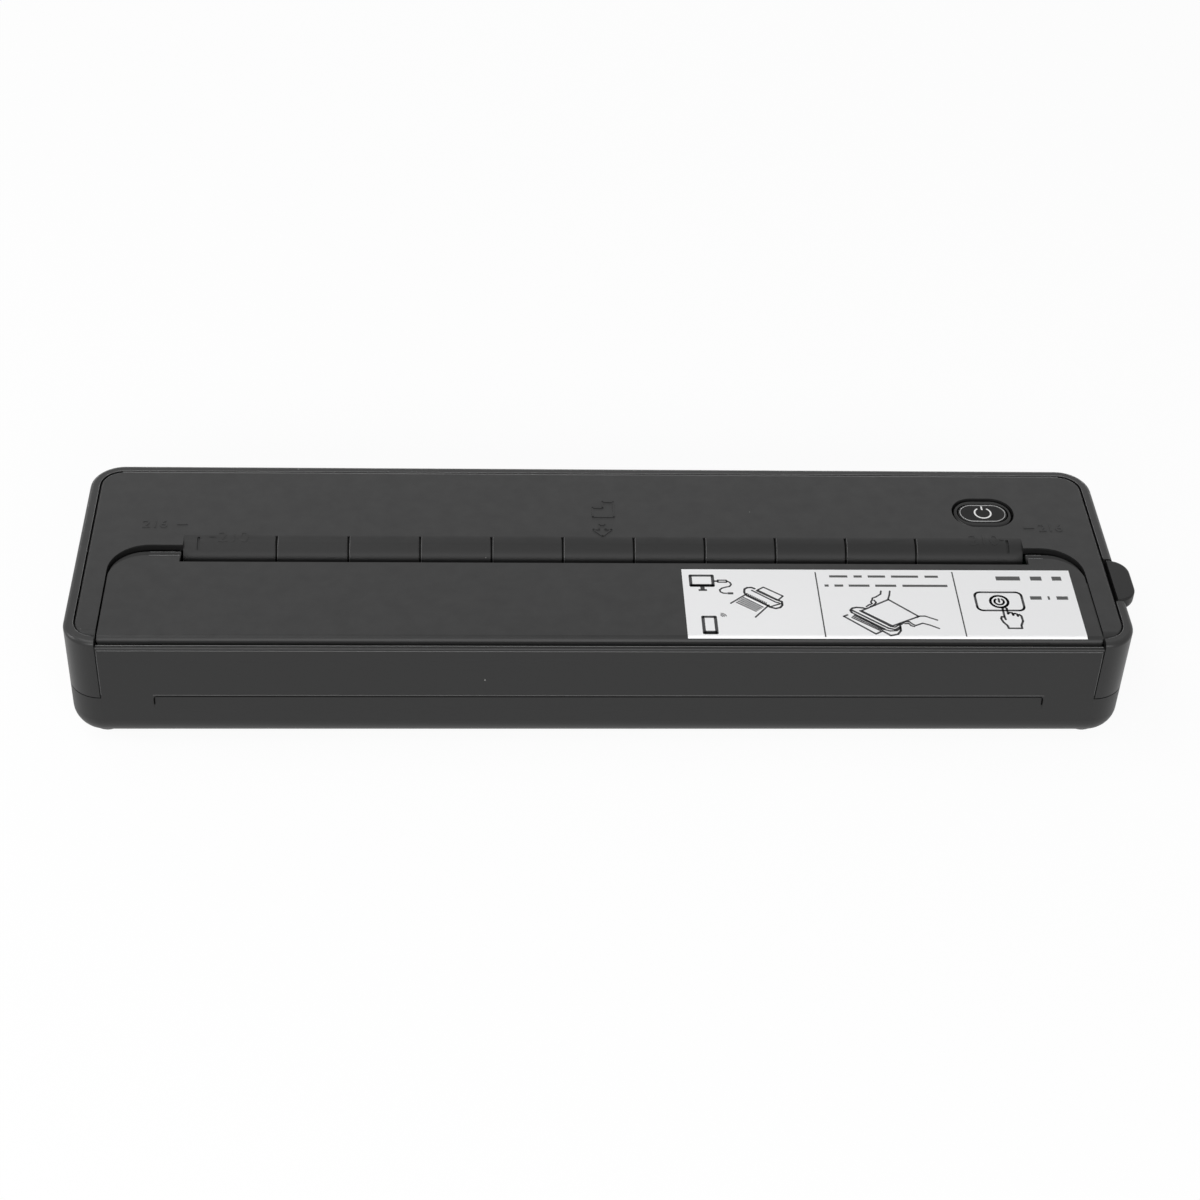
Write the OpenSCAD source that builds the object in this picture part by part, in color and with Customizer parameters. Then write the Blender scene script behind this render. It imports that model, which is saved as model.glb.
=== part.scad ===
// Portable thermal printer for A4 sheets.
// x runs to the right, y to the rear, z up from the table under the feet.
// x = 0 and y = 0 lie in the middle of the whole, with the lever's thumb piece.
// Inside the modules x counts from the middle of the shells, and mid_x moves each piece there.

/* [Shell] */
// Mean length of the body beyond each end of the paper inlet
end_w = 24.7; // [24.4:0.1:27]
// Depth of the body, front to rear
body_d = 72; // [71:1:84]
// Height of the shells without the feet
body_h = 32.3; // [32:0.1:38]
// Radius of the body's corners seen from above
corner_r = 8.5; // [8:0.5:12]
// Radius of the edge round the underside
bottom_r = 6.5; // [5:0.5:8]
// Thickness of the shell walls
wall = 2; // [1.6:0.1:2.4]
// Thickness of the floor
floor_t = 2; // [1.6:0.1:2.4]
// Height of the lower shell above the table
split_z = 15.5; // [13:0.5:17]
// Width of the rim round the deck
rim_w = 2.5; // [2.4:0.1:3.5]
// Rounding of the rim's outer edge
rim_r = 1.2; // [0.6:0.1:1.8]
// Gap between panels that meet
seam = 0.25; // [0.15:0.05:0.35]
// Depth of the ledge that carries the deck
ledge_w = 1.5; // [1:0.1:2]

/* [Front wall] */
// Thickness of the front wall beside the paper exit
lip_t = 1.1; // [0.9:0.1:1.4]
// How far the front lip lies below the top
lip_drop = 1.6; // [1.4:0.1:2]
// Height of the front lip's flat band
lip_band = 0.7; // [0.5:0.1:1.5]
// Inward slope of the front wall at the lip
front_draft = 0.4; // [0.2:0.1:0.6]
// Length of the shallow recess
recess_w = 224; // [180:2:230]
// Depth of the shallow recess at its upper edge
recess_t = 0.7; // [0.5:0.1:0.8]

/* [Deck] */
// Thickness of the deck plate
deck_t = 2; // [1.8:0.1:2.4]
// Distance from the body's side to the cover opening
arm_w = 8.4; // [8:0.1:10]
// Distance from the body's front to the rear edge of the opening
opening_d = 38.3; // [38:0.1:40]
// Corner radius of the opening
opening_r = 10; // [8:0.5:12]
// Width of the paper inlet
inlet_w = 217.6; // [214:0.2:218]
// Shift of the paper to the right of the body's middle
paper_shift = 1.9; // [1.4:0.1:3]
// Radius of the rolled lip at the paper inlet
roll_r = 6.6; // [6:0.1:7]
// Spacing of the grooves in the rolled lip
groove_pitch = 18.43; // [16:0.1:20]
// Number of grooves in the rolled lip
grooves = 10; // [4:1:10]
// Width of a groove
groove_w = 0.7; // [0.3:0.1:0.8]

/* [Cover] */
// Thickness of the cover plate
cover_t = 1.6; // [1.4:0.1:1.9]
// Thickness of the liner under the cover plate
liner_t = 1.5; // [1.3:0.1:1.8]
// Gap at each side of the cover
cover_gap = 0.5; // [0.3:0.1:0.8]
// Radius of the cover's rolled front edge
front_roll = 1.5; // [1:0.1:1.6]
// Distance from the body's front to the cover's front edge
cover_setback = 2; // [1.8:0.1:2.4]
// Radius of the cover's rear corners
ear_r = 9; // [7:0.5:10]
// Width of the paper inlet's mouth
mouth = 4.2; // [4.1:0.1:5]
// Length of the instruction sticker
label_w = 100.2; // [80:0.2:101]
// Width of the instruction sticker
label_d = 26.5; // [18:0.1:27]

/* [Print unit] */
// Radius of the platen's rubber
platen_r = 5; // [4.8:0.1:5]
// Radius of the platen shaft
shaft_r = 2.5; // [2:0.1:2.6]
// Outer radius of the platen bushes
bush_r = 4; // [3.6:0.1:4]
// Gap between the platen and the print head
nip = 0.3; // [0.2:0.05:0.4]
// Thickness of the chassis end plates
plate_t = 2.5; // [2:0.1:2.5]
// Radius of the cover's hinge pins
hinge_pin_r = 1; // [0.8:0.1:1.1]
// Running clearance of pins and shafts
fit = 0.05; // [0.03:0.01:0.08]

/* [Gears] */
// Module of the gear teeth
module_mm = 0.5; // [0.5:0.01:0.5]
// Teeth of the platen gear
platen_teeth = 20; // [20:1:20]
// Teeth of the idler
idler_teeth = 30; // [28:2:30]
// Teeth of the compound gear's small wheel
small_teeth = 14; // [14:1:14]
// Teeth of the compound gear's large wheel
large_teeth = 44; // [42:2:44]
// Teeth of the motor pinion
pinion_teeth = 12; // [12:1:12]
// Width of the gears
gear_w = 3.2; // [2.6:0.1:3.2]
// Diameter of the stepper motor
motor_d = 18; // [16:0.5:18]
// Length of the stepper motor
motor_len = 15; // [12:0.5:18]

/* [Controls] */
// Length of the power button's well
well_w = 16.5; // [16:0.1:18]
// Width of the power button's well
well_d = 12.2; // [12:0.1:13]
// Travel of the power button
button_travel = 0.4; // [0.3:0.05:0.5]
// Length of the release lever's thumb piece
thumb_w = 16.1; // [14:0.1:18]
// How far the thumb piece stands out of the side
thumb_out = 3.3; // [2.6:0.1:3.4]
// Clearance between the lever's hook and the cover's tooth
latch_gap = 0.15; // [0.1:0.05:0.4]

/* [Power and board] */
// Diameter of a battery cell
cell_d = 18.4; // [18:0.1:18.6]
// Length of a battery cell
cell_len = 65.2; // [60:0.2:66]
// Thickness of the main board
board_t = 1.6; // [1:0.1:1.6]
// Length of the main board
board_w = 108; // [80:1:112]

/* [Feet and screws] */
// Height of the feet below the shell
foot_h = 1.2; // [1:0.1:1.6]
// Radius of a foot
foot_r = 4; // [3.5:0.1:4]
// Radius of the screw shanks
screw_r = 1; // [0.9:0.05:1.1]

/* [Hidden] */
$fn = 64;
e = 0.01;
top_z = foot_h + body_h;
body_w = inlet_w + 2 * end_w;
floor_z = foot_h + floor_t;
side_x = body_w / 2;
mid_x = -thumb_out / 2;
front_y = -body_d / 2;
rear_y = body_d / 2;
inner_x = side_x - wall;
deck_inset = rim_w + seam;
deck_under = top_z - deck_t;
open_x = side_x - arm_w;
open_y = front_y + opening_d;
cover_x = open_x - cover_gap;
front_half = open_x - seam;
cover_under = top_z - cover_t;
liner_under = cover_under - liner_t;
skirt_t = 1.5;
cover_front = front_y + cover_setback;
lip_x0 = paper_shift - inlet_w / 2;
lip_x1 = paper_shift + inlet_w / 2;
lip_z = top_z - lip_drop;
recess_z = split_z + 0.3;

// Rolled lip: its face stands at roll_face, its crest meets the deck
roll_face = front_y + 35.7;
roll_y = roll_face + roll_r;
roll_z = top_z - roll_r;
roll_t = 1.8;
roll_foot = top_z - 8.9;
notch_y = roll_face - mouth;
ear_y = front_y + 34;
ear_step = 0.8;
ear_ledge = ear_y + 2.4;
notch_gap = 0.3;

// Hinge of the cover, platen and head
hinge_y = front_y + 6.2;
hinge_z = top_z - 3.5;
hinge_boss = hinge_pin_r + 0.9;
platen_y = hinge_y + 13.8;
platen_z = hinge_z - 4.2;
swing_r = 26.7;
chute_r = 5.1;
sleeve_x0 = lip_x0 - 0.7;
sleeve_x1 = lip_x1 + 0.1;
bracket_in = sleeve_x1 + 0.5;
bracket_t = 1.5;
plate_in = bracket_in + bracket_t + 0.5;
plate_out = plate_in + plate_t;
head_x = bracket_in - 0.4;
head_top = platen_z - platen_r - nip;
ceramic_t = 1;
sink_h = 5;
sink_top = head_top - ceramic_t;
sink_under = sink_top - sink_h;
head_front = platen_y - 7.5;
head_rear = platen_y + 6.5;
pivot_y = head_rear - 1.5;
pivot_z = sink_top - 3;
pivot_r = 1;
beam_top = sink_under - 4.5;
beam_t = 2;
beam_y0 = head_front - 0.5;
beam_y1 = head_rear + 1;
spring_xs = [-78, -26, 26, 78];
post_xs = [-95, 0, 95];
bush_out = plate_out + 0.6;
knuckle_in = plate_out + 0.4;
knuckle_w = 3;

// Gear train: the idler lies where the cover's swing lifts the platen off it
lift = atan2(platen_y - hinge_y, hinge_z - platen_z);
plane_a = -(bush_out + 1);
plane_b = plane_a - gear_w - 0.8;
idler_run = module_mm * (platen_teeth + idler_teeth) / 2;
small_run = module_mm * (idler_teeth + small_teeth) / 2;
pinion_run = module_mm * (large_teeth + pinion_teeth) / 2;
to_idler = 180 + lift;
to_small = 8;
to_pinion = 0;
idler_y = platen_y + idler_run * cos(to_idler);
idler_z = platen_z + idler_run * sin(to_idler);
small_y = idler_y + small_run * cos(to_small);
small_z = idler_z + small_run * sin(to_small);
pinion_y = small_y + pinion_run * cos(to_pinion);
pinion_z = small_z + pinion_run * sin(to_pinion);
platen_phase = to_idler;
idler_phase = to_idler + 180 + 180 / idler_teeth;
small_phase = to_small + 180 - (idler_phase - to_small) * idler_teeth / small_teeth
    + 180 / small_teeth;
large_phase = to_pinion;
pinion_phase = to_pinion + 180 + 180 / pinion_teeth;
gear_pin_r = 1;
motor_turn = 35;
motor_ears = [for (s = [-1, 1])
    [pinion_y + s * (motor_d / 2 + 2.2) * cos(motor_turn), pinion_z + s * (motor_d / 2 + 2.2) * sin(motor_turn)]];

// Release lever at the right side
latch_y = front_y + 25.5;
lever_x = inner_x - 3.3;
lever_z = top_z - 4.1;
lever_pin_r = 0.8;
barrel_r = lever_pin_r + 0.8;
thumb_h = 4.2;
thumb_corner = 5;
thumb_in = side_x - deck_inset + 0.85;
hook_half = 3;
nose_z = lever_z - 8.4;
tooth_x = cover_x - 0.1;
nose_x = tooth_x + latch_gap;
notch_side = 0.4;

// Power button
button_x = side_x - 31.1;
button_y = front_y + 53.2;
cap_w = 13.2;
cap_d = 7.2;
bezel_flange = 0.8;
bezel_drop = 0.3;
bezel_gap = 0.3;
well_r = well_d / 2 - 0.2;
cap_drop = 0.2;
line_t = 0.3;
line_d = 0.4;

// Board, cells and fasteners
board_z = deck_under - 7.5;
board_x1 = inner_x - 3;
board_x0 = board_x1 - board_w;
board_y0 = roll_face + roll_t + 1.5;
board_y1 = rear_y - 7;
board_posts = [[board_x0 + 5, board_y1 - 3], [board_x1 - 12, board_y1 - 3],
    [board_x0 + 5, board_y0 + 4], [board_x1 - 12, board_y0 + 4]];
usb_y = rear_y - 16;
usb_w = 9;
usb_h = 3.2;
usb_z = board_z + board_t + usb_h / 2;
cell_r = cell_d / 2;
cell_y = rear_y - wall - 1 - cell_r;
cell_z = floor_z + 1 + cell_r;
cell_x0 = -66;
cell_gap = 2;
foot_x = side_x - 8.3;
foot_y = rear_y - 8.5;
foot_sink = 1.2;
head_h = 1.4;
corner_posts = [[foot_x, -foot_y], [foot_x, foot_y], [-foot_x, -foot_y], [-foot_x, foot_y]];
boss_r = 3;
shelf_t = 3.5;

gloss_black = [0.13, 0.13, 0.14];
matte_black = [0.2, 0.2, 0.21];
inner_black = [0.1, 0.1, 0.11];

// ---- Shared shapes ----

// Half of a section with rounded lower and upper outer corners
module half_section(half, z0, z1, rb, rt) {
    translate([0, z0 + rb])
        square([half, z1 - z0 - rb - rt]);
    if (rb > 0) {
        translate([0, z0])
            square([half - rb, rb + e]);
        translate([half - rb, z0 + rb])
            circle(r = rb);
    }
    if (rt > 0) {
        translate([0, z1 - rt - e])
            square([half - rt, rt + e]);
        translate([half - rt, z1 - rt])
            circle(r = rt);
    }
}

module full_section(half, z0, z1, rb, rt) {
    half_section(half, z0, z1, rb, rt);
    mirror([1, 0])
        half_section(half, z0, z1, rb, rt);
}

// Block with round corners in plan and rounded edges below and above
module rounded_block(w, d, z0, z1, rc, rb = 0, rt = 0) {
    rotate([90, 0, 0])
        linear_extrude(d - 2 * rc, center = true)
            full_section(w / 2, z0, z1, rb, rt);
    rotate([90, 0, 90])
        linear_extrude(w - 2 * rc, center = true)
            full_section(d / 2, z0, z1, rb, rt);
    for (sx = [-1, 1], sy = [-1, 1])
        translate([sx * (w / 2 - rc), sy * (d / 2 - rc), 0])
            rotate_extrude()
                intersection() {
                    half_section(rc, z0, z1, rb, rt);
                    translate([0, z0])
                        square([rc, z1 - z0]);
                }
}

// Box between two corners
module box(a, b) {
    translate(a)
        cube(b - a);
}

// Section in the y-z plane, drawn from x0 to x1
module along_x(x0, x1) {
    translate([x0, 0, 0])
        rotate([90, 0, 90])
            linear_extrude(x1 - x0)
                children();
}

// Section in the x-z plane, drawn from y0 to y1
module along_y(y0, y1) {
    translate([0, y1, 0])
        rotate([90, 0, 0])
            linear_extrude(y1 - y0)
                children();
}

// Rod along x between x0 and x1
module rod_x(x0, x1, y, z, r) {
    translate([x0, y, z])
        rotate([0, 90, 0])
            cylinder(r = r, h = x1 - x0);
}

// Plan outline with round corners, centred on x = 0 and y = 0
module round_plate(w, d, r) {
    square([w - 2 * r, d], center = true);
    square([w, d - 2 * r], center = true);
    for (sx = [-1, 1], sy = [-1, 1])
        translate([sx * (w / 2 - r), sy * (d / 2 - r)])
            circle(r = r);
}

// Pan-head screw standing on its head plane, shank pointing along +z
module screw(len, head_r = 1.9) {
    difference() {
        translate([0, 0, -head_h])
            cylinder(r = head_r, h = head_h);
        for (turn = [0, 90])
            rotate(turn)
                translate([-head_r * 0.6, -0.2, -head_h - e])
                    cube([head_r * 1.2, 0.4, head_h / 2]);
    }
    cylinder(r = screw_r, h = len);
}

// Gear outline with one tooth pointing along the given direction
function gear_corner(teeth, share, radius, turn) =
    radius * [cos(turn + share * 360 / teeth), sin(turn + share * 360 / teeth)];
module gear_outline(teeth, phase) {
    tip = module_mm * (teeth / 2 + 0.9);
    root = module_mm * (teeth / 2 - 1.25);
    polygon([for (i = [0:teeth - 1], c = [[-0.31, root], [-0.12, tip], [0.12, tip], [0.31, root]])
        gear_corner(teeth, c[0], c[1], phase + i * 360 / teeth)]);
}

// Gear wheel whose outer face lies at x, with its width towards the middle
module wheel(teeth, phase, x, y, z, w, bore) {
    difference() {
        translate([x, y, z])
            rotate([90, 0, 90])
                linear_extrude(w)
                    gear_outline(teeth, phase);
        rod_x(x - e, x + w + e, y, z, bore);
    }
}

// Wire of a coil spring along +z, swept round its axis
module coil(radius, wire, height, turns) {
    sides = 6;
    steps = 12 * turns;
    function ring(i) = let (a = i * 30, h = wire / 2 + (height - wire) * i / steps)
        [for (k = [0:sides - 1]) let (b = k * 360 / sides, r = radius + wire / 2 * cos(b))
            [r * cos(a), r * sin(a), h + wire / 2 * sin(b)]];
    points = [for (i = [0:steps]) each ring(i)];
    skin = [for (i = [0:steps - 1], k = [0:sides - 1])
        let (n = (k + 1) % sides, p = i * sides, q = p + sides)
        [p + k, q + k, q + n, p + n]];
    first = [for (k = [0:sides - 1]) k];
    last = [for (k = [sides - 1:-1:0]) steps * sides + k];
    polyhedron(points, concat(skin, [first, last]), convexity = 8);
}

// ---- Shells ----

module front_wall_section() {
    f = front_y;
    bend = 0.45;
    foot = foot_h + 10.8;
    translate([f + bend, lip_z - bend])
        circle(r = bend);
    polygon([
        [f, foot],
        [f + 0.1, lip_z - lip_band - 3.4],
        [f + front_draft, lip_z - lip_band - 0.5],
        [f + front_draft + 0.2, lip_z - lip_band - 0.4],
        [f + front_draft + 0.2, lip_z - lip_band],
        [f, lip_z - lip_band],
        [f, lip_z - bend],
        [f + bend, lip_z - bend],
        [f + bend, lip_z],
        [f + lip_t, lip_z],
        [f + lip_t, hinge_z - chute_r - 1.6],
        [f + wall, hinge_z - chute_r - 2.4],
        [f + wall, foot]
    ]);
}

// Cutter for the recess: a soft upper edge, a narrow deep line, then a ramp
module recess_section() {
    f = front_y;
    polygon([
        [f - 1, recess_z + 0.45],
        [f, recess_z + 0.45],
        [f + 0.12, recess_z + 0.15],
        [f + recess_t, recess_z],
        [f + recess_t, recess_z - 0.35],
        [f + recess_t - 0.3, recess_z - 0.45],
        [f, recess_z - 4.3],
        [f - 1, recess_z - 4.3]
    ]);
}

module base_shell() {
    color(matte_black)
    translate([mid_x, 0, 0])
    difference() {
        union() {
            difference() {
                rounded_block(body_w, body_d, foot_h, split_z, corner_r, bottom_r);
                rounded_block(body_w - 2 * wall, body_d - 2 * wall, floor_z, split_z + 1,
                    corner_r - wall, bottom_r - wall);
                // The tapered front face starts above the rounded edge
                box([-front_half, front_y - 1, foot_h + 10.8], [front_half, front_y + wall, split_z + 1]);
            }
            along_x(-front_half, front_half)
                front_wall_section();
            for (p = corner_posts)
                translate([p[0], p[1], foot_h + foot_sink])
                    cylinder(r = boss_r, h = split_z - foot_h - foot_sink);
            intersection() {
                rounded_block(body_w, body_d, foot_h, split_z, corner_r, bottom_r);
                for (p = corner_posts)
                    translate([p[0], p[1], foot_h])
                        cylinder(r = foot_r + 0.8, h = foot_sink + 1.2);
            }
            for (x = post_xs)
                translate([x, (beam_y0 + beam_y1) / 2, foot_h + e])
                    cylinder(r = 2.6, h = beam_top - beam_t - foot_h - e);
        }
        for (p = corner_posts) {
            translate([p[0], p[1], -1])
                cylinder(r = foot_r + 0.05, h = foot_h + foot_sink + 1);
            translate([p[0], p[1], foot_h])
                cylinder(r = 2, h = foot_sink + head_h + 0.4);
            translate([p[0], p[1], foot_h])
                cylinder(r = screw_r + 0.15, h = split_z);
        }
        for (x = post_xs)
            translate([x, (beam_y0 + beam_y1) / 2, floor_z + 0.5])
                cylinder(r = screw_r, h = split_z);
        // Shallow recess with a soft upper edge and round corners, fading out downwards
        intersection() {
            along_x(-recess_w / 2, recess_w / 2)
                recess_section();
            translate([0, 0, recess_z - 7.55])
                along_y(front_y - 2, front_y + 2)
                    round_plate(recess_w, 16, 1.5);
        }
        // Shadow line where the two shells meet
        difference() {
            translate([0, 0, split_z - line_t])
                linear_extrude(1)
                    difference() {
                        round_plate(body_w + 4, body_d + 4, corner_r + 2);
                        round_plate(body_w - 2 * line_d, body_d - 2 * line_d, corner_r - line_d);
                    }
            box([-front_half, front_y - 3, 0], [front_half, front_y + 3, split_z + 2]);
        }
    }
}

module upper_shell() {
    ledge_z = deck_under - 1.5;
    color(gloss_black)
    translate([mid_x, 0, 0])
    difference() {
        union() {
            difference() {
                rounded_block(body_w, body_d, split_z, top_z, corner_r, 0, rim_r);
                rounded_block(body_w - 2 * wall, body_d - 2 * wall, split_z - 1, ledge_z,
                    corner_r - wall);
                translate([0, 0, ledge_z - e])
                    linear_extrude(deck_t + 2)
                        round_plate(body_w - 2 * (rim_w + ledge_w), body_d - 2 * (rim_w + ledge_w),
                            corner_r - rim_w - ledge_w);
                translate([0, 0, deck_under])
                    linear_extrude(deck_t + 1)
                        round_plate(body_w - 2 * rim_w, body_d - 2 * rim_w, corner_r - rim_w);
            }
            // Shelves that the corner screws hold
            for (p = corner_posts) {
                sx = sign(p[0]);
                sy = sign(p[1]);
                intersection() {
                    rounded_block(body_w - e, body_d - e, split_z, split_z + shelf_t, corner_r);
                    translate([sx * (abs(p[0]) + 3), sy * (foot_y + (sy > 0 ? 3 : 0)), split_z + shelf_t / 2])
                        cube([12, sy > 0 ? 12 : 6.4, shelf_t], center = true);
                }
            }
            // Ears that hold the lever's pin
            for (s = [-1, 1])
                translate([lever_x - barrel_r, latch_y + s * (thumb_w / 2 + 1.15) - 0.75, lever_z - barrel_r])
                    cube([inner_x - lever_x + barrel_r + 0.5, 1.5, ledge_z + 1 - lever_z + barrel_r]);
        }
        // The front between the corner part lines belongs to the lower shell and cover
        box([-open_x, front_y - 1, split_z - 1], [open_x, front_y + rim_w + ledge_w + 0.6, top_z + 1]);
        for (p = corner_posts)
            translate([p[0], p[1], split_z - 1])
                cylinder(r = screw_r, h = shelf_t + 2);
        // Notch for the release lever
        box([lever_x + barrel_r, latch_y - thumb_w / 2 - notch_side, lever_z - 1.4],
            [side_x + 1, latch_y + thumb_w / 2 + notch_side, top_z + 1]);
        box([inner_x - 5, latch_y - thumb_w / 2 - notch_side, ledge_z - 1],
            [side_x - rim_w, latch_y + thumb_w / 2 + notch_side, deck_under]);
        translate([lever_x, latch_y - thumb_w, lever_z])
            rotate([-90, 0, 0])
                cylinder(r = lever_pin_r, h = 2 * thumb_w);
        // Charging socket
        translate([inner_x - 1, usb_y, usb_z])
            rotate([90, 0, 90])
                linear_extrude(wall + 2)
                    round_plate(usb_w + 1, usb_h + 0.6, (usb_h + 0.6) / 2 - e);
    }
}

module opening_outline(half, y1, r) {
    translate([-half, front_y - 5])
        square([2 * half, y1 - r - front_y + 5]);
    translate([-half + r, front_y])
        square([2 * (half - r), y1 - front_y]);
    for (sx = [-1, 1])
        translate([sx * (half - r), y1 - r])
            circle(r = r);
}

module roll_section() {
    intersection() {
        difference() {
            translate([roll_y, roll_z])
                circle(r = roll_r);
            translate([roll_y, roll_z])
                circle(r = roll_r - roll_t);
        }
        translate([roll_y - roll_r - 1, roll_z])
            square([roll_r + 1, roll_r + 1]);
    }
    translate([roll_face, roll_foot])
        square([roll_t, roll_z - roll_foot + e]);
    translate([roll_y - e, top_z - deck_t])
        square([1, deck_t]);
}

module groove(x, from, to) {
    translate([x - groove_w / 2, roll_y, roll_z])
        rotate([90, 0, 90])
            rotate(from)
                rotate_extrude(angle = to - from)
                    translate([roll_r - 0.4, 0])
                        square([1, groove_w]);
}

module top_deck() {
    nose = 2.5;
    nose_y = front_y + deck_inset;
    color(matte_black)
    translate([mid_x, 0, 0]) {
        difference() {
            union() {
                difference() {
                    rounded_block(body_w - 2 * deck_inset, body_d - 2 * deck_inset, deck_under, top_z,
                        corner_r - deck_inset, 0, 0.8);
                    translate([0, 0, deck_under - 1])
                        linear_extrude(deck_t + 2)
                            opening_outline(open_x, open_y, opening_r);
                    box([lip_x0 - e, front_y, deck_under - 1], [lip_x1 + e, roll_y, top_z + 1]);
                    // The arms roll down at the front like the cover does
                    along_x(-side_x, side_x)
                        difference() {
                            translate([nose_y - 1, top_z - nose])
                                square([nose + 1, nose + 1]);
                            translate([nose_y + nose, top_z - nose])
                                circle(r = nose);
                        }
                }
                along_x(lip_x0, lip_x1)
                    roll_section();
                for (x = [lip_x0, lip_x1 - 1.2])
                    along_x(x, x + 1.2)
                        intersection() {
                            translate([roll_y, roll_z])
                                circle(r = roll_r);
                            translate([roll_face - 1, roll_z])
                                square([roll_r + 1, roll_r + 1]);
                        }
                for (p = board_posts)
                    translate([p[0], p[1], board_z + board_t])
                        cylinder(r = 2.4, h = deck_under + e - board_z - board_t);
            }
            for (i = [0:grooves - 1])
                groove(paper_shift + (i - (grooves - 1) / 2) * groove_pitch - 2.15, 92, 178);
            for (x = [paper_shift - 105, paper_shift + 105])
                groove(x, 96, 130);
            translate([button_x, button_y, deck_under - 1])
                linear_extrude(deck_t + 2)
                    round_plate(well_w, well_d, well_r);
            for (p = board_posts)
                translate([p[0], p[1], board_z])
                    cylinder(r = screw_r, h = deck_under - board_z);
        }
    }
}

// ---- Cover ----

module cover_section() {
    square_y1 = ear_ledge + 1;
    translate([cover_front + front_roll, cover_under])
        square([square_y1 - cover_front - front_roll, cover_t]);
    translate([cover_front, cover_under])
        square([front_roll + e, cover_t - front_roll]);
    translate([cover_front + front_roll, top_z - front_roll])
        intersection() {
            circle(r = front_roll);
            translate([-front_roll, 0])
                square([front_roll, front_roll]);
        }
}

module cover_outline() {
    difference() {
        opening_outline(cover_x, ear_ledge, ear_r);
        translate([lip_x0 - notch_gap, notch_y])
            square([inlet_w + 2 * notch_gap, 20]);
    }
}

module flip_cover() {
    color(matte_black)
    translate([mid_x, 0, 0])
    difference() {
        union() {
            intersection() {
                along_x(-cover_x, cover_x)
                    cover_section();
                translate([0, 0, cover_under - 1])
                    linear_extrude(cover_t + 2)
                        cover_outline();
            }
            for (s = [-1, 1])
                translate([s * (cover_x - skirt_t / 2), (hinge_y + 2.2 + ear_y - ear_r) / 2, cover_under - liner_t / 2])
                    cube([skirt_t, ear_y - ear_r - hinge_y - 2.2, liner_t], center = true);
            along_x(-plate_in + 2, plate_in - 2)
                translate([cover_front - 0.3, cover_under - 0.3])
                    square([2, 0.8]);
        }
        // The ears step down behind the flat top and its round corners
        difference() {
            translate([0, 0, top_z - ear_step])
                linear_extrude(ear_step + 1)
                    difference() {
                        translate([-side_x, ear_y - ear_r])
                            square([2 * side_x, side_x]);
                        opening_outline(cover_x + 0.15, ear_y, ear_r);
                    }
            box([lip_x0 - notch_gap, ear_y - 1, 0], [lip_x1 + notch_gap, ear_y, top_z + 2]);
        }
        // Room for the chassis horns round the hinge
        for (s = [-1, 1])
            rod_x(s * (plate_in + plate_out) / 2 - plate_t / 2 - 0.35, s * (plate_in + plate_out) / 2 + plate_t / 2 + 0.35,
                hinge_y, hinge_z, hinge_boss + 0.35);
    }
}

module knuckle_section() {
    difference() {
        union() {
            translate([hinge_y, hinge_z])
                circle(r = hinge_boss);
            translate([hinge_y - hinge_boss, hinge_z])
                square([2 * hinge_boss + 3, cover_under - hinge_z]);
        }
        translate([hinge_y, hinge_z])
            circle(r = hinge_pin_r + fit);
    }
}

module bracket_section() {
    difference() {
        union() {
            translate([platen_y, platen_z])
                circle(r = bush_r + 1.1);
            translate([platen_y - bush_r - 1.1, platen_z])
                square([2 * bush_r + 2.2, liner_under - platen_z + e]);
        }
        translate([platen_y, platen_z])
            circle(r = bush_r);
    }
}

module cover_liner() {
    liner_x = cover_x - skirt_t - 0.1;
    gear_room = module_mm * (platen_teeth / 2 + 0.9) + 0.4;
    color(inner_black)
    translate([mid_x, 0, 0]) {
        difference() {
            union() {
                box([-liner_x, hinge_y + 3.2, liner_under], [liner_x, notch_y - 1.3, cover_under]);
                // Upper paper guide beside the inlet
                box([sleeve_x0, notch_y - 2.8, roll_foot - 0.1], [sleeve_x1, notch_y - 1.3, liner_under + e]);
                for (s = [-1, 1])
                    rod_ribs(s);
            }
            rod_x(-liner_x - 1, bush_out + 0.4, platen_y, platen_z, platen_r + 0.5);
            box([-bush_out - gear_w - 2, platen_y - gear_room, liner_under - 1],
                [-bush_out - 0.4, platen_y + gear_room, cover_under + 1]);
        }
        for (s = [-1, 1]) {
            x0 = s > 0 ? bracket_in : -bracket_in - bracket_t;
            along_x(x0, x0 + bracket_t)
                bracket_section();
            k0 = s > 0 ? knuckle_in : -knuckle_in - knuckle_w;
            along_x(k0, k0 + knuckle_w)
                knuckle_section();
        }
        latch_arm();
    }
}

// Stiffening ribs that run forward from the guide wall, clear of the platen
module rod_ribs(s) {
    for (x = [15:30:105])
        translate([s * x - 0.6, notch_y - 5.2, liner_under - 1.6])
            cube([1.2, 2.6, 1.7]);
}

module latch_arm() {
    arm_x = cover_x - skirt_t - 1.8;
    lever_gap = 0.25;
    along_y(latch_y - hook_half - 0.5, latch_y + hook_half + 0.5)
        polygon([[arm_x, liner_under], [arm_x, nose_z - 1.9], [arm_x + 1, nose_z - 2.4], [tooth_x, nose_z - 1.4],
            [tooth_x, nose_z - lever_gap - 0.35], [arm_x + 1.6, nose_z - lever_gap],
            [arm_x + 1.6, liner_under]]);
}

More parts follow.
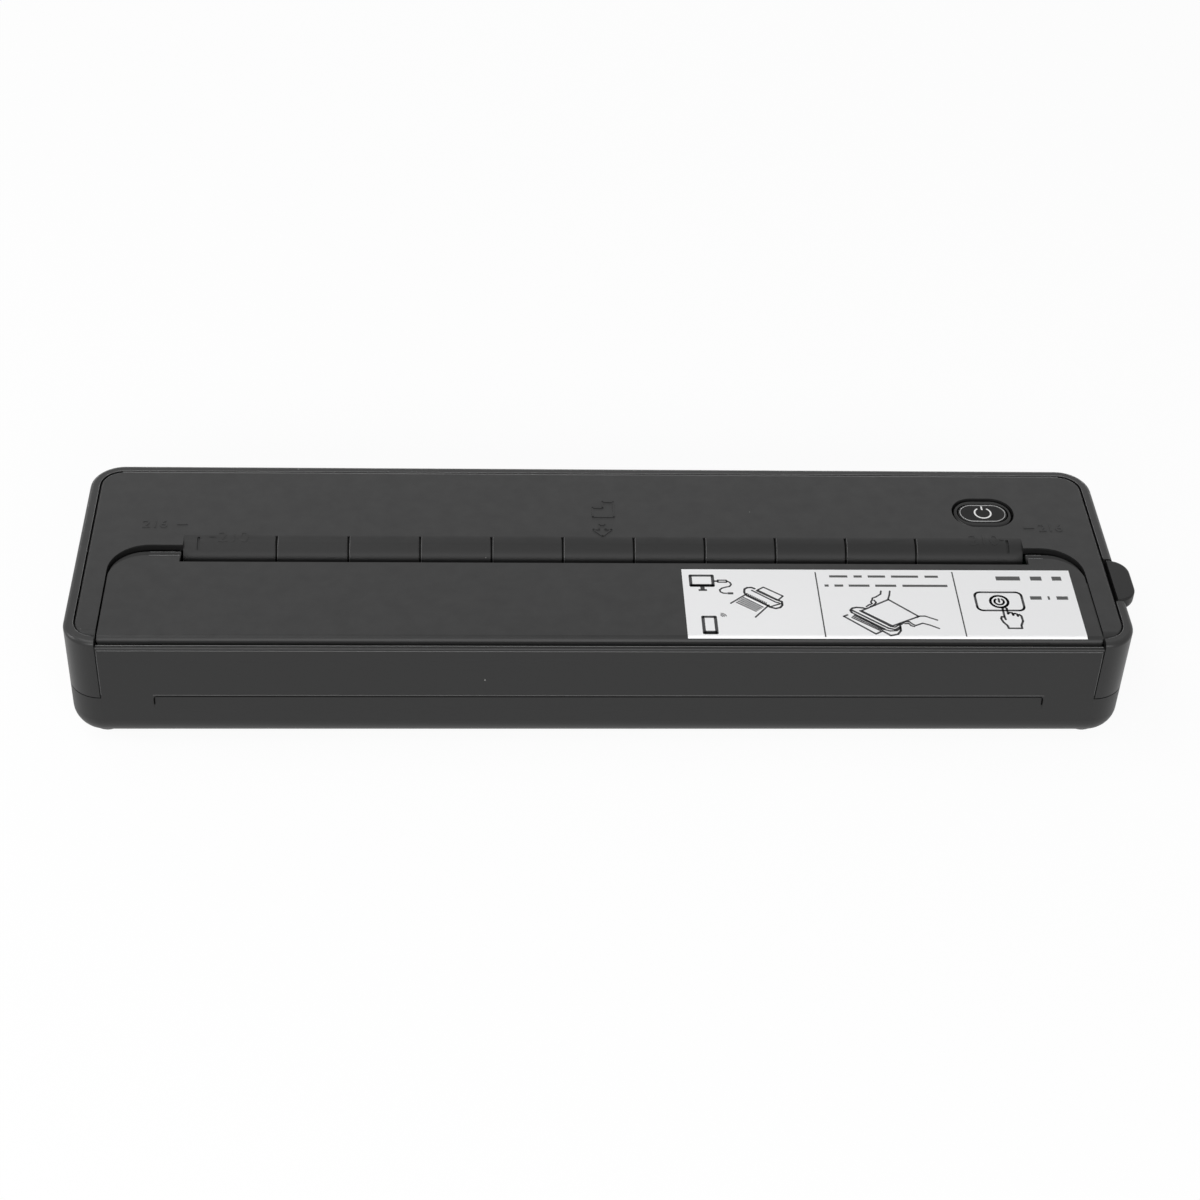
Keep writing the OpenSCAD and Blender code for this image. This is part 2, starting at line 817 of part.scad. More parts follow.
module instruction_label() {
    label_t = 0.12;
    label_y1 = notch_y - 2.5;
    flat_y = cover_front + front_roll;
    flat_d = min(label_d, label_y1 - flat_y);
    wrap = (label_d - flat_d) / front_roll * 180 / PI;
    color([0.92, 0.92, 0.92])
    translate([mid_x, 0, 0])
        along_x(cover_x - 3.8 - label_w, cover_x - 3.8) {
            translate([label_y1 - flat_d, top_z])
                square([flat_d, label_t]);
            // The front strip bends round the cover's edge
            if (wrap > 0)
                translate([flat_y, top_z - front_roll])
                    difference() {
                        intersection() {
                            circle(r = front_roll + label_t);
                            polygon([[0, 0], [e, 3], [-3 * tan(wrap), 3]]);
                        }
                        circle(r = front_roll);
                    }
        }
}

module hinge_pins() {
    color([0.75, 0.75, 0.77])
    translate([mid_x, 0, 0])
        for (s = [-1, 1]) {
            x0 = s > 0 ? plate_in + 0.3 : -knuckle_in - knuckle_w + 0.2;
            rod_x(x0, x0 + knuckle_in + knuckle_w - plate_in - 0.5, hinge_y, hinge_z, hinge_pin_r);
        }
}

// ---- Print unit ----

module plate_section(with_motor) {
    slot_r = bush_r + 0.3;
    difference() {
        union() {
            translate([hinge_y, hinge_z])
                circle(r = hinge_boss);
            polygon([
                [beam_y0 - 2, floor_z],
                [beam_y0 - 2, platen_z - 6],
                [hinge_y - 0.75, hinge_z - 6],
                [hinge_y - 0.75, hinge_z - 1],
                [hinge_y + hinge_boss, hinge_z],
                [hinge_y + hinge_boss + 2, platen_z + 1.8],
                [platen_y + 9.5, platen_z + 1.8],
                [platen_y + 12.5, platen_z - 3],
                [platen_y + 12.5, floor_z]
            ]);
            if (with_motor) {
                translate([pinion_y, pinion_z])
                    circle(r = motor_d / 2 + 0.8);
                translate([platen_y + 12, floor_z])
                    square([pinion_y + 6 - platen_y - 12, pinion_z - floor_z]);
                for (ear = motor_ears)
                    translate(ear)
                        circle(r = 2.4);
            }
        }
        translate([platen_y, platen_z])
            circle(r = slot_r);
        translate([platen_y - slot_r, platen_z])
            square([2 * slot_r + 0.9, 10]);
        translate([hinge_y, hinge_z])
            circle(r = hinge_pin_r);
        translate([pivot_y, pivot_z])
            circle(r = pivot_r + fit);
    }
}

module chassis_frame() {
    color([0.16, 0.16, 0.17])
    translate([mid_x, 0, 0])
    difference() {
        union() {
            along_x(-plate_out, -plate_in)
                plate_section(true);
            along_x(plate_in, plate_out)
                plate_section(false);
            box([-plate_in - e, beam_y0, beam_top - beam_t], [plate_in + e, beam_y1, beam_top]);
            for (y = [beam_y0, beam_y1 - 1.5])
                box([-plate_in - e, y, beam_top - beam_t - 2], [plate_in + e, y + 1.5, beam_top - beam_t + e]);
            for (x = spring_xs)
                translate([x, platen_y, beam_top - e])
                    cylinder(r = 1.1, h = 1.5);
        }
        for (x = post_xs)
            translate([x, (beam_y0 + beam_y1) / 2, beam_top - beam_t - 1])
                cylinder(r = screw_r + 0.15, h = beam_t + 2);
        // Gear pins, motor boss and motor screws in the left plate
        rod_x(-plate_out - 1, -plate_out + 2, idler_y, idler_z, gear_pin_r);
        rod_x(-plate_out - 1, -plate_out + 2, small_y, small_z, gear_pin_r);
        rod_x(-plate_out - 1, -plate_in + 1, pinion_y, pinion_z, 3);
        for (ear = motor_ears)
            rod_x(-plate_out - 1, -plate_in + 1, ear[0], ear[1], screw_r);
    }
}

// Floor of the paper path between the inlet and the head
module entry_guide() {
    low = [swing_r * cos(-22) + hinge_y, swing_r * sin(-22) + hinge_z];
    color(inner_black)
    translate([mid_x, 0, 0])
        along_x(-plate_in, plate_in)
            polygon([
                [roll_face + 0.2, roll_foot - 0.3],
                low,
                [head_rear + 0.4, head_top - 0.1],
                [head_rear + 0.4, head_top - 1.3],
                low + [0.4, -1.1],
                [roll_face + 1.1, roll_foot - 1]
            ]);
}

// Curved chute from the head up to the exit slot, round the path of the cover's front edge
module exit_guide() {
    start = [head_front - 0.4, head_top - 0.2];
    hinge = [hinge_y, hinge_z];
    reach = norm(start - hinge);
    aim = atan2(start[1] - hinge[1], start[0] - hinge[0]) - acos(chute_r / reach);
    touch = hinge + chute_r * [cos(aim), sin(aim)];
    wall_y = front_y + lip_t;
    color(inner_black)
    translate([mid_x, 0, 0])
        along_x(-plate_in, plate_in)
            difference() {
                polygon([
                    start,
                    touch,
                    [hinge_y - 1.5, hinge_z - 2.5],
                    [wall_y, hinge_z - 2.5],
                    [wall_y, touch[1] - 0.6],
                    [touch[0] - 0.4, touch[1] - 1.1],
                    [start[0], start[1] - 1.2]
                ]);
                translate(hinge)
                    circle(r = chute_r);
            }
}

module platen_sleeve() {
    color([0.08, 0.08, 0.08])
    translate([mid_x, 0, 0])
    difference() {
        rod_x(sleeve_x0, sleeve_x1, platen_y, platen_z, platen_r);
        rod_x(sleeve_x0 - 1, sleeve_x1 + 1, platen_y, platen_z, shaft_r);
    }
}

module platen_shaft() {
    color([0.75, 0.75, 0.77])
    translate([mid_x, 0, 0])
        rod_x(plane_a - gear_w, bush_out + 0.8, platen_y, platen_z, shaft_r);
}

module bush(x0, x1, flange0, flange1) {
    color([0.85, 0.83, 0.78])
    translate([mid_x, 0, 0])
    difference() {
        union() {
            rod_x(x0, x1, platen_y, platen_z, bush_r);
            rod_x(flange0, flange1, platen_y, platen_z, bush_r + 0.9);
        }
        rod_x(-side_x, side_x, platen_y, platen_z, shaft_r + fit);
    }
}

module platen_bush_left() {
    bush(-bush_out, -bracket_in, -bush_out, -plate_out - 0.1);
}

module platen_bush_right() {
    bush(bracket_in, bush_out, plate_out + 0.1, bush_out);
}

module platen_gear() {
    color([0.9, 0.9, 0.86])
    translate([mid_x, 0, 0])
        wheel(platen_teeth, platen_phase, plane_a - gear_w, platen_y, platen_z, gear_w, shaft_r);
}

module idler_gear() {
    color([0.9, 0.9, 0.86])
    translate([mid_x, 0, 0])
        wheel(idler_teeth, idler_phase, plane_a - gear_w, idler_y, idler_z, gear_w, gear_pin_r + fit);
}

module compound_gear() {
    color([0.9, 0.9, 0.86])
    translate([mid_x, 0, 0])
    union() {
        wheel(small_teeth, small_phase, plane_a - gear_w - 0.8, small_y, small_z, gear_w + 0.8,
            gear_pin_r + fit);
        wheel(large_teeth, large_phase, plane_b - gear_w, small_y, small_z, gear_w, gear_pin_r + fit);
    }
}

module motor_pinion() {
    color([0.8, 0.7, 0.4])
    translate([mid_x, 0, 0]) {
        wheel(pinion_teeth, pinion_phase, plane_b - gear_w, pinion_y, pinion_z, gear_w, 0.75);
        rod_x(plane_b - gear_w, -plate_out + 1, pinion_y, pinion_z, 0.75);
    }
}

module gear_posts() {
    color([0.75, 0.75, 0.77])
    translate([mid_x, 0, 0]) {
        rod_x(plane_a - gear_w - 0.5, -plate_out + 2, idler_y, idler_z, gear_pin_r);
        rod_x(plane_b - gear_w - 0.5, -plate_out + 2, small_y, small_z, gear_pin_r);
        // Shoulders that keep the wheels off the plate
        difference() {
            union() {
                rod_x(plane_a + 0.1, -plate_out, idler_y, idler_z, 2);
                rod_x(plane_a + 0.1, -plate_out, small_y, small_z, 2);
            }
            rod_x(-side_x, 0, idler_y, idler_z, gear_pin_r);
            rod_x(-side_x, 0, small_y, small_z, gear_pin_r);
        }
    }
}

module stepper_motor() {
    color([0.6, 0.6, 0.62])
    translate([mid_x, 0, 0])
    difference() {
        union() {
            rod_x(-plate_in, -plate_in + motor_len, pinion_y, pinion_z, motor_d / 2);
            rod_x(-plate_out + 1.1, -plate_in + e, pinion_y, pinion_z, 2.9);
            rod_x(-plate_in + motor_len - e, -plate_in + motor_len + 0.8, pinion_y, pinion_z, 3);
            along_x(-plate_in, -plate_in + 1)
                for (ear = motor_ears)
                    translate(ear) {
                        circle(r = 2.2);
                        rotate(motor_turn)
                            translate([ear[0] > pinion_y ? -4 : 0, -2.2])
                                square([4, 4.4]);
                    }
        }
        rod_x(-plate_out, -plate_in + 3, pinion_y, pinion_z, 0.75 + fit);
        for (ear = motor_ears)
            rod_x(-plate_in - 1, -plate_in + 2, ear[0], ear[1], screw_r);
    }
}

module motor_screws() {
    color([0.75, 0.75, 0.77])
    translate([mid_x, 0, 0])
        for (ear = motor_ears)
            translate([-plate_in + 1, ear[0], ear[1]])
                rotate([0, -90, 0])
                    screw(plate_t + 0.5);
}

module print_head_ceramic() {
    color([0.85, 0.84, 0.8])
    translate([mid_x, 0, 0])
        box([-head_x, head_front + 1, sink_top], [head_x, head_rear - 1, head_top]);
}

module head_heatsink() {
    color([0.7, 0.71, 0.73])
    translate([mid_x, 0, 0])
    difference() {
        box([-head_x, head_front, sink_under], [head_x, head_rear, sink_top]);
        for (y = [head_front + 2.5, head_front + 9.5])
            box([-head_x - 1, y, sink_under - 1], [head_x + 1, y + 2, sink_under + 2.2]);
        for (s = [-1, 1])
            rod_x(s > 0 ? head_x - 5 : -head_x - 1, s > 0 ? head_x + 1 : -head_x + 5, pivot_y, pivot_z, pivot_r);
    }
}

module head_pivot_pins() {
    color([0.75, 0.75, 0.77])
    translate([mid_x, 0, 0])
        for (s = [-1, 1])
            rod_x(s > 0 ? head_x - 5 : -plate_out + 0.2, s > 0 ? plate_out - 0.2 : -head_x + 5,
                pivot_y, pivot_z, pivot_r);
}

module head_springs() {
    color([0.75, 0.75, 0.77])
    translate([mid_x, 0, 0])
        for (x = spring_xs)
            translate([x, platen_y, beam_top])
                coil(1.7, 0.4, sink_under - beam_top, 4);
}

// Flat cable from the head's rear edge to the underside of the board
module head_ribbon() {
    from = [head_rear + 0.3, sink_under + 1.5];
    to = [cell_y - cell_r - 2, board_z];
    low = [head_rear + 3.2, beam_top + 0.6];
    t = 0.3;
    color([0.75, 0.6, 0.3])
    translate([mid_x, 0, 0])
        along_x(board_x0 + 14, board_x0 + 44)
            polygon([from, low, [to[0], low[1] + 3], to, to - [t, 0], [to[0] - t, low[1] + 3 + t],
                low + [0, t], from + [0, t]]);
}

module paper_sensor() {
    foot = head_rear + 0.6;
    color([0.05, 0.05, 0.05])
    translate([mid_x, 0, 0])
        box([paper_shift - 3, foot, head_top - 3.6], [paper_shift + 3, foot + 3, head_top - 1.55]);
}

// ---- Controls ----

// Thumb piece, inner arm, barrel and hook of the release lever
module release_lever() {
    stem_x = lever_x - 0.2;
    color(gloss_black)
    translate([mid_x, 0, 0])
    difference() {
        union() {
            intersection() {
                translate([thumb_in, latch_y, 0])
                    rounded_block(2 * (side_x + thumb_out - thumb_in), thumb_w, top_z - thumb_h, top_z,
                        thumb_corner, 1.8, 0.5);
                box([thumb_in, front_y, 0], [side_x + 20, rear_y, top_z + 1]);
            }
            box([lever_x, latch_y - thumb_w / 2, lever_z - 1], [thumb_in + 1, latch_y + thumb_w / 2, lever_z + 1.1]);
            translate([lever_x, latch_y - thumb_w / 2, lever_z])
                rotate([-90, 0, 0])
                    cylinder(r = barrel_r, h = thumb_w);
            along_y(latch_y - hook_half, latch_y + hook_half)
                polygon([
                    [stem_x - 1.3, lever_z],
                    [stem_x - 1.3, nose_z + 2],
                    [nose_x + 0.6, nose_z + 1.4],
                    [nose_x, nose_z + 0.6],
                    [nose_x, nose_z],
                    [nose_x + 1.6, nose_z - 0.3],
                    [stem_x + 0.6, nose_z - 0.3],
                    [stem_x + 0.6, lever_z]
                ]);
        }
        translate([lever_x, latch_y - thumb_w, lever_z])
            rotate([-90, 0, 0])
                cylinder(r = lever_pin_r + fit, h = 2 * thumb_w);
    }
}

module lever_pin() {
    color([0.75, 0.75, 0.77])
    translate([mid_x, 0, 0])
        translate([lever_x, latch_y - thumb_w / 2 - 1.9, lever_z])
            rotate([-90, 0, 0])
                cylinder(r = lever_pin_r, h = thumb_w + 3.8);
}

// Coil between the hook's back and the side wall
module lever_spring() {
    back = lever_x + 0.4;
    color([0.75, 0.75, 0.77])
    translate([mid_x, 0, 0])
        translate([back, latch_y, nose_z + 3.5])
            rotate([0, 90, 0])
                coil(1.3, 0.35, inner_x - back, 4);
}

module power_button() {
    collar = 0.8;
    collar_z = deck_under - bezel_flange - 0.05 - collar;
    color(gloss_black)
    translate([mid_x, 0, 0])
        translate([button_x, button_y, 0]) {
            rounded_block(cap_w, cap_d, collar_z + 0.2, top_z - cap_drop, cap_d / 2 - 0.1, 0, 0.5);
            translate([0, 0, collar_z])
                linear_extrude(collar)
                    round_plate(cap_w + 1.4, cap_d + 1.4, cap_d / 2 + 0.6);
            translate([0, 0, board_z + board_t + 2.5])
                cylinder(r = 1.5, h = deck_under - board_z - board_t - 2.5);
        }
}

module button_bezel() {
    color(gloss_black)
    translate([mid_x, 0, 0])
        translate([button_x, button_y, 0])
            difference() {
                union() {
                    rounded_block(well_w - 2 * bezel_gap, well_d - 2 * bezel_gap, deck_under - e,
                        top_z - bezel_drop, well_r - bezel_gap, 0, 0.9);
                    translate([0, 0, deck_under - bezel_flange])
                        linear_extrude(bezel_flange)
                            round_plate(well_w + 2, well_d + 2, 6.5);
                }
                translate([0, 0, deck_under - 2])
                    linear_extrude(deck_t + 3)
                        round_plate(cap_w + 0.5, cap_d + 0.5, cap_d / 2 + 0.15);
            }
}

module switch_plunger() {
    color([0.1, 0.1, 0.1])
    translate([mid_x, 0, 0])
        translate([button_x, button_y, board_z + board_t + 1.6])
            cylinder(r = 1, h = 0.9);
}

module tact_switch() {
    base_z = board_z + board_t;
    color([0.7, 0.7, 0.72])
    translate([mid_x, 0, 0])
    difference() {
        box([button_x - 2.25, button_y - 2.25, base_z], [button_x + 2.25, button_y + 2.25, base_z + 2]);
        translate([button_x, button_y, base_z + 1])
            cylinder(r = 1 + fit, h = 2);
    }
}

// ---- Board and power ----

module main_board() {
    color([0.05, 0.3, 0.18])
    translate([mid_x, 0, 0])
    difference() {
        box([board_x0, board_y0, board_z], [board_x1, board_y1, board_z + board_t]);
        for (p = board_posts)
            translate([p[0], p[1], board_z - 1])
                cylinder(r = screw_r + 0.15, h = board_t + 2);
    }
}

module board_components() {
    up = board_z + board_t;
    color([0.08, 0.08, 0.08])
    translate([mid_x, 0, 0]) {
        box([board_x0 + 40, board_y0 + 10, up], [board_x0 + 50, board_y0 + 20, up + 1]);
        box([board_x0 + 60, board_y0 + 8, up], [board_x0 + 67, board_y0 + 13, up + 1.2]);
        box([board_x0 + 20, board_y0 + 7, up], [board_x0 + 32, board_y0 + 13, up + 1.5]);
        for (i = [0:2])
            translate([board_x0 + 56 + i * 6, board_y1 - 4, up])
                cylinder(r = 2, h = 3.6);
        // Sockets for the head ribbon and the battery lead
        box([board_x0 + 12, board_y0 + 1, up], [board_x0 + 46, board_y0 + 4, up + 1.8]);
        box([board_x0 + 14, board_y1 - 6, up], [board_x0 + 22, board_y1 - 2, up + 3]);
    }
}

module board_screws() {
    color([0.75, 0.75, 0.77])
    translate([mid_x, 0, 0])
        for (p = board_posts)
            translate([p[0], p[1], board_z])
                screw(board_t + 3);
}

module usb_socket() {
    x1 = side_x - 1;
    color([0.72, 0.72, 0.74])
    translate([mid_x, 0, 0])
    difference() {
        translate([x1 - 7.3, usb_y, usb_z])
            rotate([90, 0, 90])
                linear_extrude(7.3)
                    round_plate(usb_w, usb_h, usb_h / 2 - e);
        translate([x1 - 6, usb_y, usb_z])
            rotate([90, 0, 90])
                linear_extrude(8)
                    round_plate(usb_w - 0.7, usb_h - 0.7, (usb_h - 0.7) / 2 - e);
    }
    color([0.1, 0.1, 0.1])
    translate([mid_x, 0, 0])
        box([x1 - 6.2, usb_y - 3, usb_z - 0.35], [x1 - 1, usb_y + 3, usb_z + 0.35]);
}

module battery_cells() {
    color([0.2, 0.45, 0.6])
    translate([mid_x, 0, 0])
        for (i = [0, 1]) {
            x0 = cell_x0 + i * (cell_len + cell_gap);
            difference() {
                rod_x(x0, x0 + cell_len - 1, cell_y, cell_z, cell_r);
                rod_x(x0 - 1, x0 + 0.6, cell_y, cell_z, cell_r - 1.2);
            }
            rod_x(x0 + cell_len - 1 - e, x0 + cell_len, cell_y, cell_z, 2.8);
        }
}

module battery_cradle() {
    pack_len = 2 * cell_len + cell_gap;
    rib_top = cell_z - 1;
    front = cell_y - cell_r - 1;
    rear = rear_y - bottom_r;
    color(inner_black)
    translate([mid_x, 0, 0])
    difference() {
        union() {
            box([cell_x0 - 2, front, floor_z], [cell_x0 + pack_len + 2, rear, floor_z + 0.8]);
            for (x = [cell_x0 - 2, cell_x0 + pack_len + 0.4])
                box([x, front, floor_z], [x + 1.6, rear, cell_z + 5]);
            for (x = [cell_x0 + 8:16:cell_x0 + pack_len - 6])
                box([x, front, floor_z], [x + 1.5, rear, rib_top]);
            box([cell_x0 - 2, front, floor_z], [cell_x0 + pack_len + 2, front + 1, rib_top]);
        }
        rod_x(cell_x0 - 0.3, cell_x0 + pack_len + 0.3, cell_y, cell_z, cell_r + 0.2);
    }
}

// ---- Feet and screws ----

module rubber_feet() {
    color([0.05, 0.05, 0.05])
    translate([mid_x, 0, 0])
        for (p = corner_posts)
            translate([p[0], p[1], 0])
                rotate_extrude()
                    difference() {
                        square([foot_r, foot_h + foot_sink]);
                        translate([foot_r - 0.4, -e])
                            polygon([[0, 0], [1, 0], [1, 1], [0.4, 0.4]]);
                    }
}

module body_screws() {
    color([0.75, 0.75, 0.77])
    translate([mid_x, 0, 0])
        for (p = corner_posts)
            translate([p[0], p[1], foot_h + foot_sink + head_h + 0.4])
                screw(split_z + shelf_t - foot_h - foot_sink - head_h - 1, 1.85);
}

module chassis_screws() {
    color([0.75, 0.75, 0.77])
    translate([mid_x, 0, 0])
        for (x = post_xs)
            translate([x, (beam_y0 + beam_y1) / 2, beam_top])
                mirror([0, 0, 1])
                    screw(4);
}

base_shell();
upper_shell();
top_deck();
flip_cover();
cover_liner();
instruction_label();
hinge_pins();
chassis_frame();
entry_guide();
exit_guide();
platen_sleeve();
platen_shaft();
platen_bush_left();
platen_bush_right();
platen_gear();
idler_gear();
compound_gear();
motor_pinion();
gear_posts();
stepper_motor();
motor_screws();
print_head_ceramic();
head_heatsink();
head_pivot_pins();
head_springs();
head_ribbon();
paper_sensor();
release_lever();
lever_pin();
lever_spring();
power_button();
button_bezel();
switch_plunger();
tact_switch();
main_board();
board_components();
board_screws();
usb_socket();
battery_cells();
battery_cradle();
rubber_feet();
body_screws();
chassis_screws();
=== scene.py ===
# %% [markdown]
# A portable thermal printer for A4 sheets, dressed for its portrait.
# The solids come packed from CAD in one shared frame, in metres, with x to the right, y to the
# rear and z up from the table. Every finish and every small printed or moulded mark is made here.
# Loading comes first, because each later piece takes its place from a solid's own box.

# %% Load the frame
import bpy
import bmesh
from math import radians, sin, cos, sqrt, pi
from mathutils import Matrix, Vector


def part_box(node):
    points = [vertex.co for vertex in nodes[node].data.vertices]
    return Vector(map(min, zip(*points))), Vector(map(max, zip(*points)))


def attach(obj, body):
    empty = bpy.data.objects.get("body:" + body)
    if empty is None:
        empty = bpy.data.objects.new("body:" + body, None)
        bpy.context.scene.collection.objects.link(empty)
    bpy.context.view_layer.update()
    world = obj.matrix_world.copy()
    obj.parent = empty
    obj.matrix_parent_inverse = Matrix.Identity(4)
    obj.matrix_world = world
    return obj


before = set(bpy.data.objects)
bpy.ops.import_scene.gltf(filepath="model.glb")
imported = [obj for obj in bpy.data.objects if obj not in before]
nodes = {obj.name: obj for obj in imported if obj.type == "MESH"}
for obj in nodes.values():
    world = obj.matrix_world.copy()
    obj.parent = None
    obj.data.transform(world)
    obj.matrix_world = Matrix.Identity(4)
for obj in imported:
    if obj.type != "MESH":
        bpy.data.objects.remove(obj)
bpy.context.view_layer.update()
MM = 0.001

# %% [markdown]
# The shells' middle lies a little left of x = 0, because the lever's thumb piece counts in the
# whole box. Places on the deck are written from the shells' middle, as a maker would measure
# them, and one helper turns them into the shared frame.

# %% Places taken from the solids
shell_low, shell_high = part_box("upper_shell")
mid_x = (shell_low.x + shell_high.x) / 2
deck_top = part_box("top_deck")[1].z
cap_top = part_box("power_button")[1].z
label_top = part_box("instruction_label")[1].z
SIDES = (("left", -1), ("right", 1))


def at(x_mm, y_mm, z):
    """A point given in mm from the shells' middle, at height z in metres."""
    return Vector((mid_x + x_mm * MM, y_mm * MM, z))


print("middle of the shells:", round(mid_x, 5), "deck top:", round(deck_top, 5))

# %% [markdown]
# The camera looks down at about forty degrees from the front, turned a few degrees, with a long
# lens. Its place and turn were worked out from the outline of the body in the picture: the known
# width of the paper marks gives the scale, and the parallel edges give the tilt and roll.

# %% Camera
elevation, yaw, roll = radians(40.182), radians(3.928), radians(2.703)
eye = at(-32.34, -479.956, 0.423582)
lens, sensor, nearest = 72.056, 36, 0.01
forward = Vector((sin(yaw) * cos(elevation), cos(yaw) * cos(elevation), -sin(elevation)))
level = Vector((cos(yaw), -sin(yaw), 0))
up = level.cross(forward)
right = cos(roll) * level + sin(roll) * up
upright = -sin(roll) * level + cos(roll) * up
turn = Matrix((right, upright, -forward)).transposed().to_4x4()
camera_data = bpy.data.cameras.new("camera")
camera_data.sensor_width = sensor
camera_data.lens = lens
camera_data.clip_start = nearest
camera = bpy.data.objects.new("camera", camera_data)
camera.matrix_world = Matrix.Translation(eye) @ turn
scene = bpy.context.scene
scene.collection.objects.link(camera)
scene.camera = camera
print("camera at", [round(v, 4) for v in eye])

# %% [markdown]
# Materials, the room and the floor are all trees of shader nodes. Four short helpers build them:
# one feeds an input with a number or with another node's output, one adds a node with its
# settings and inputs, and two add the nodes used most, a sum and a mix of two colours. They keep
# each tree as short as the idea behind it.

# %% Node helpers
def feed(tree, socket, value):
    """Link a value that is another node's output, or set one that is a number or a colour."""
    if isinstance(value, bpy.types.NodeSocket):
        tree.links.new(value, socket)
    else:
        socket.default_value = value


def add_node(tree, kind, inputs=None, **settings):
    """A new node of a kind, with its settings made first and its named inputs fed after."""
    node = tree.nodes.new("ShaderNode" + kind)
    for name, value in settings.items():
        setattr(node, name, value)
    for name, value in (inputs or {}).items():
        feed(tree, node.inputs[name], value)
    return node


def add_math(tree, operation, *values, clamp=False):
    """The output of a Math node over one or two values."""
    inputs = dict(enumerate(values))
    return add_node(tree, "Math", inputs, operation=operation, use_clamp=clamp).outputs[0]


def mix_colours(tree, factor, first, second, blend="MIX"):
    """The output of a colour mix, each colour an output or four numbers."""
    inputs = {"Factor": factor, "A": first, "B": second}
    return add_node(tree, "Mix", inputs, data_type="RGBA", blend_type=blend).outputs["Result"]


print("node helpers:", feed.__name__, add_node.__name__, add_math.__name__, mix_colours.__name__)

# %% [markdown]
# Product pictures of black plastic live from what the plastic mirrors: a white room all round
# gives the even grey of the flat faces and the paler outlines. The room is white only to rays
# that show a surface, so it adds no light of its own. To all other rays it is a dim soft sky.

# %% White room
SKY_COLOUR, SKY_STRENGTH = (0.97, 0.98, 1.0, 1), 0.18
WHITE, FULL = (1, 1, 1, 1), 1


def seen_rays(tree):
    """1 for rays that show a surface: straight to the camera, in a gloss or through glass."""
    path = add_node(tree, "LightPath").outputs
    either = add_math(tree, "MAXIMUM", path["Is Camera Ray"], path["Is Glossy Ray"])
    return add_math(tree, "MAXIMUM", either, path["Is Transmission Ray"])


scene.view_settings.view_transform = "Standard"
scene.world = bpy.data.worlds.new("studio")
scene.world.use_nodes = True
tree = scene.world.node_tree
tree.nodes.clear()
soft = add_node(tree, "Background", {"Color": SKY_COLOUR, "Strength": SKY_STRENGTH})
white = add_node(tree, "Background", {"Color": WHITE, "Strength": FULL})
room = add_node(tree, "MixShader", {0: seen_rays(tree), 1: soft.outputs[0], 2: white.outputs[0]})
add_node(tree, "OutputWorld", {"Surface": room.outputs[0]})
print("room:", len(tree.nodes), "nodes")

# %% [markdown]
# Two wide panels before the object, one high and one low, light the rolled front edge, and one in
# the roof lights the crest of the inlet's lip. A panel at the left throws the small reliefs into
# shade, and a low strip behind draws the rear edge. All are weak, so that white stays below full.

# %% Lamps
def panel(name, place, target, width, depth, power):
    """A flat soft lamp of a width and depth in metres and a power in watts that faces a point."""
    data = bpy.data.lights.new(name, "AREA")
    data.shape = "RECTANGLE"
    data.size, data.size_y, data.energy = width, depth, power
    lamp = bpy.data.objects.new(name, data)
    lamp.location = place
    lamp.rotation_euler = (Vector(target) - Vector(place)).to_track_quat("-Z", "Y").to_euler()
    scene.collection.objects.link(lamp)


object_foot, object_top = (0, 0, 0), (0, 0, 0.03)
panel("front_panel", (0.0, -1.1, 0.6), object_foot, width=1.5, depth=0.3, power=12.5)
panel("low_panel", (0.0, -1.1, 0.16), object_top, width=1.5, depth=0.1, power=4.0)
panel("roof_panel", (-0.4, -0.05, 1.05), object_foot, width=1.2, depth=0.35, power=4.0)
panel("left_panel", (-0.95, 0.0, 0.42), object_foot, width=0.25, depth=0.5, power=2.5)
panel("rear_strip", (0.0, 1.0, 0.16), object_top, width=1.6, depth=0.06, power=2.5)

# %% [markdown]
# The floor is one large pale sheet. For rays that show a surface it is mostly plain white with a
# share of real shading, so that the object keeps a soft shadow. All other rays meet matt paint.

# %% Floor
FLOOR_SIZE, FLOOR_PAINT, PLAIN_SHARE = 4, (0.93, 0.93, 0.93, 1), 0.93
floor_mesh = bpy.data.meshes.new("floor")
bm = bmesh.new()
bmesh.ops.create_grid(bm, x_segments=4, y_segments=4, size=FLOOR_SIZE)
bm.to_mesh(floor_mesh)
bm.free()
floor = bpy.data.objects.new("floor", floor_mesh)
scene.collection.objects.link(floor)
floor_finish = bpy.data.materials.new("white_table")
floor_finish.use_nodes = True
tree = floor_finish.node_tree
paint = tree.nodes["Principled BSDF"]
for name, value in (("Base Color", FLOOR_PAINT), ("Roughness", 0.7), ("Specular IOR Level", 0.1)):
    paint.inputs[name].default_value = value
glow = add_node(tree, "Emission", {"Color": WHITE, "Strength": FULL})
share = add_math(tree, "MULTIPLY", seen_rays(tree), PLAIN_SHARE)
both = add_node(tree, "MixShader", {0: share, 1: paint.outputs[0], 2: glow.outputs[0]})
feed(tree, tree.nodes["Material Output"].inputs["Surface"], both.outputs[0])
floor_mesh.materials.append(floor_finish)
print("floor size:", [round(v, 1) for v in floor.dimensions])

# %% [markdown]
# Moulded black plastic is never one flat colour. The tool's spark-eroded face leaves a fine grain,
# the pigment mottles a little over some centimetres, hands rub the edges, and dust lies as pale
# specks. Each of these is one shader group, so that every plastic can take its own share. The
# first group gives the grain as a height and the mottle as a shade that swings about 1.

# %% Grain group
PER_METRE = 1000


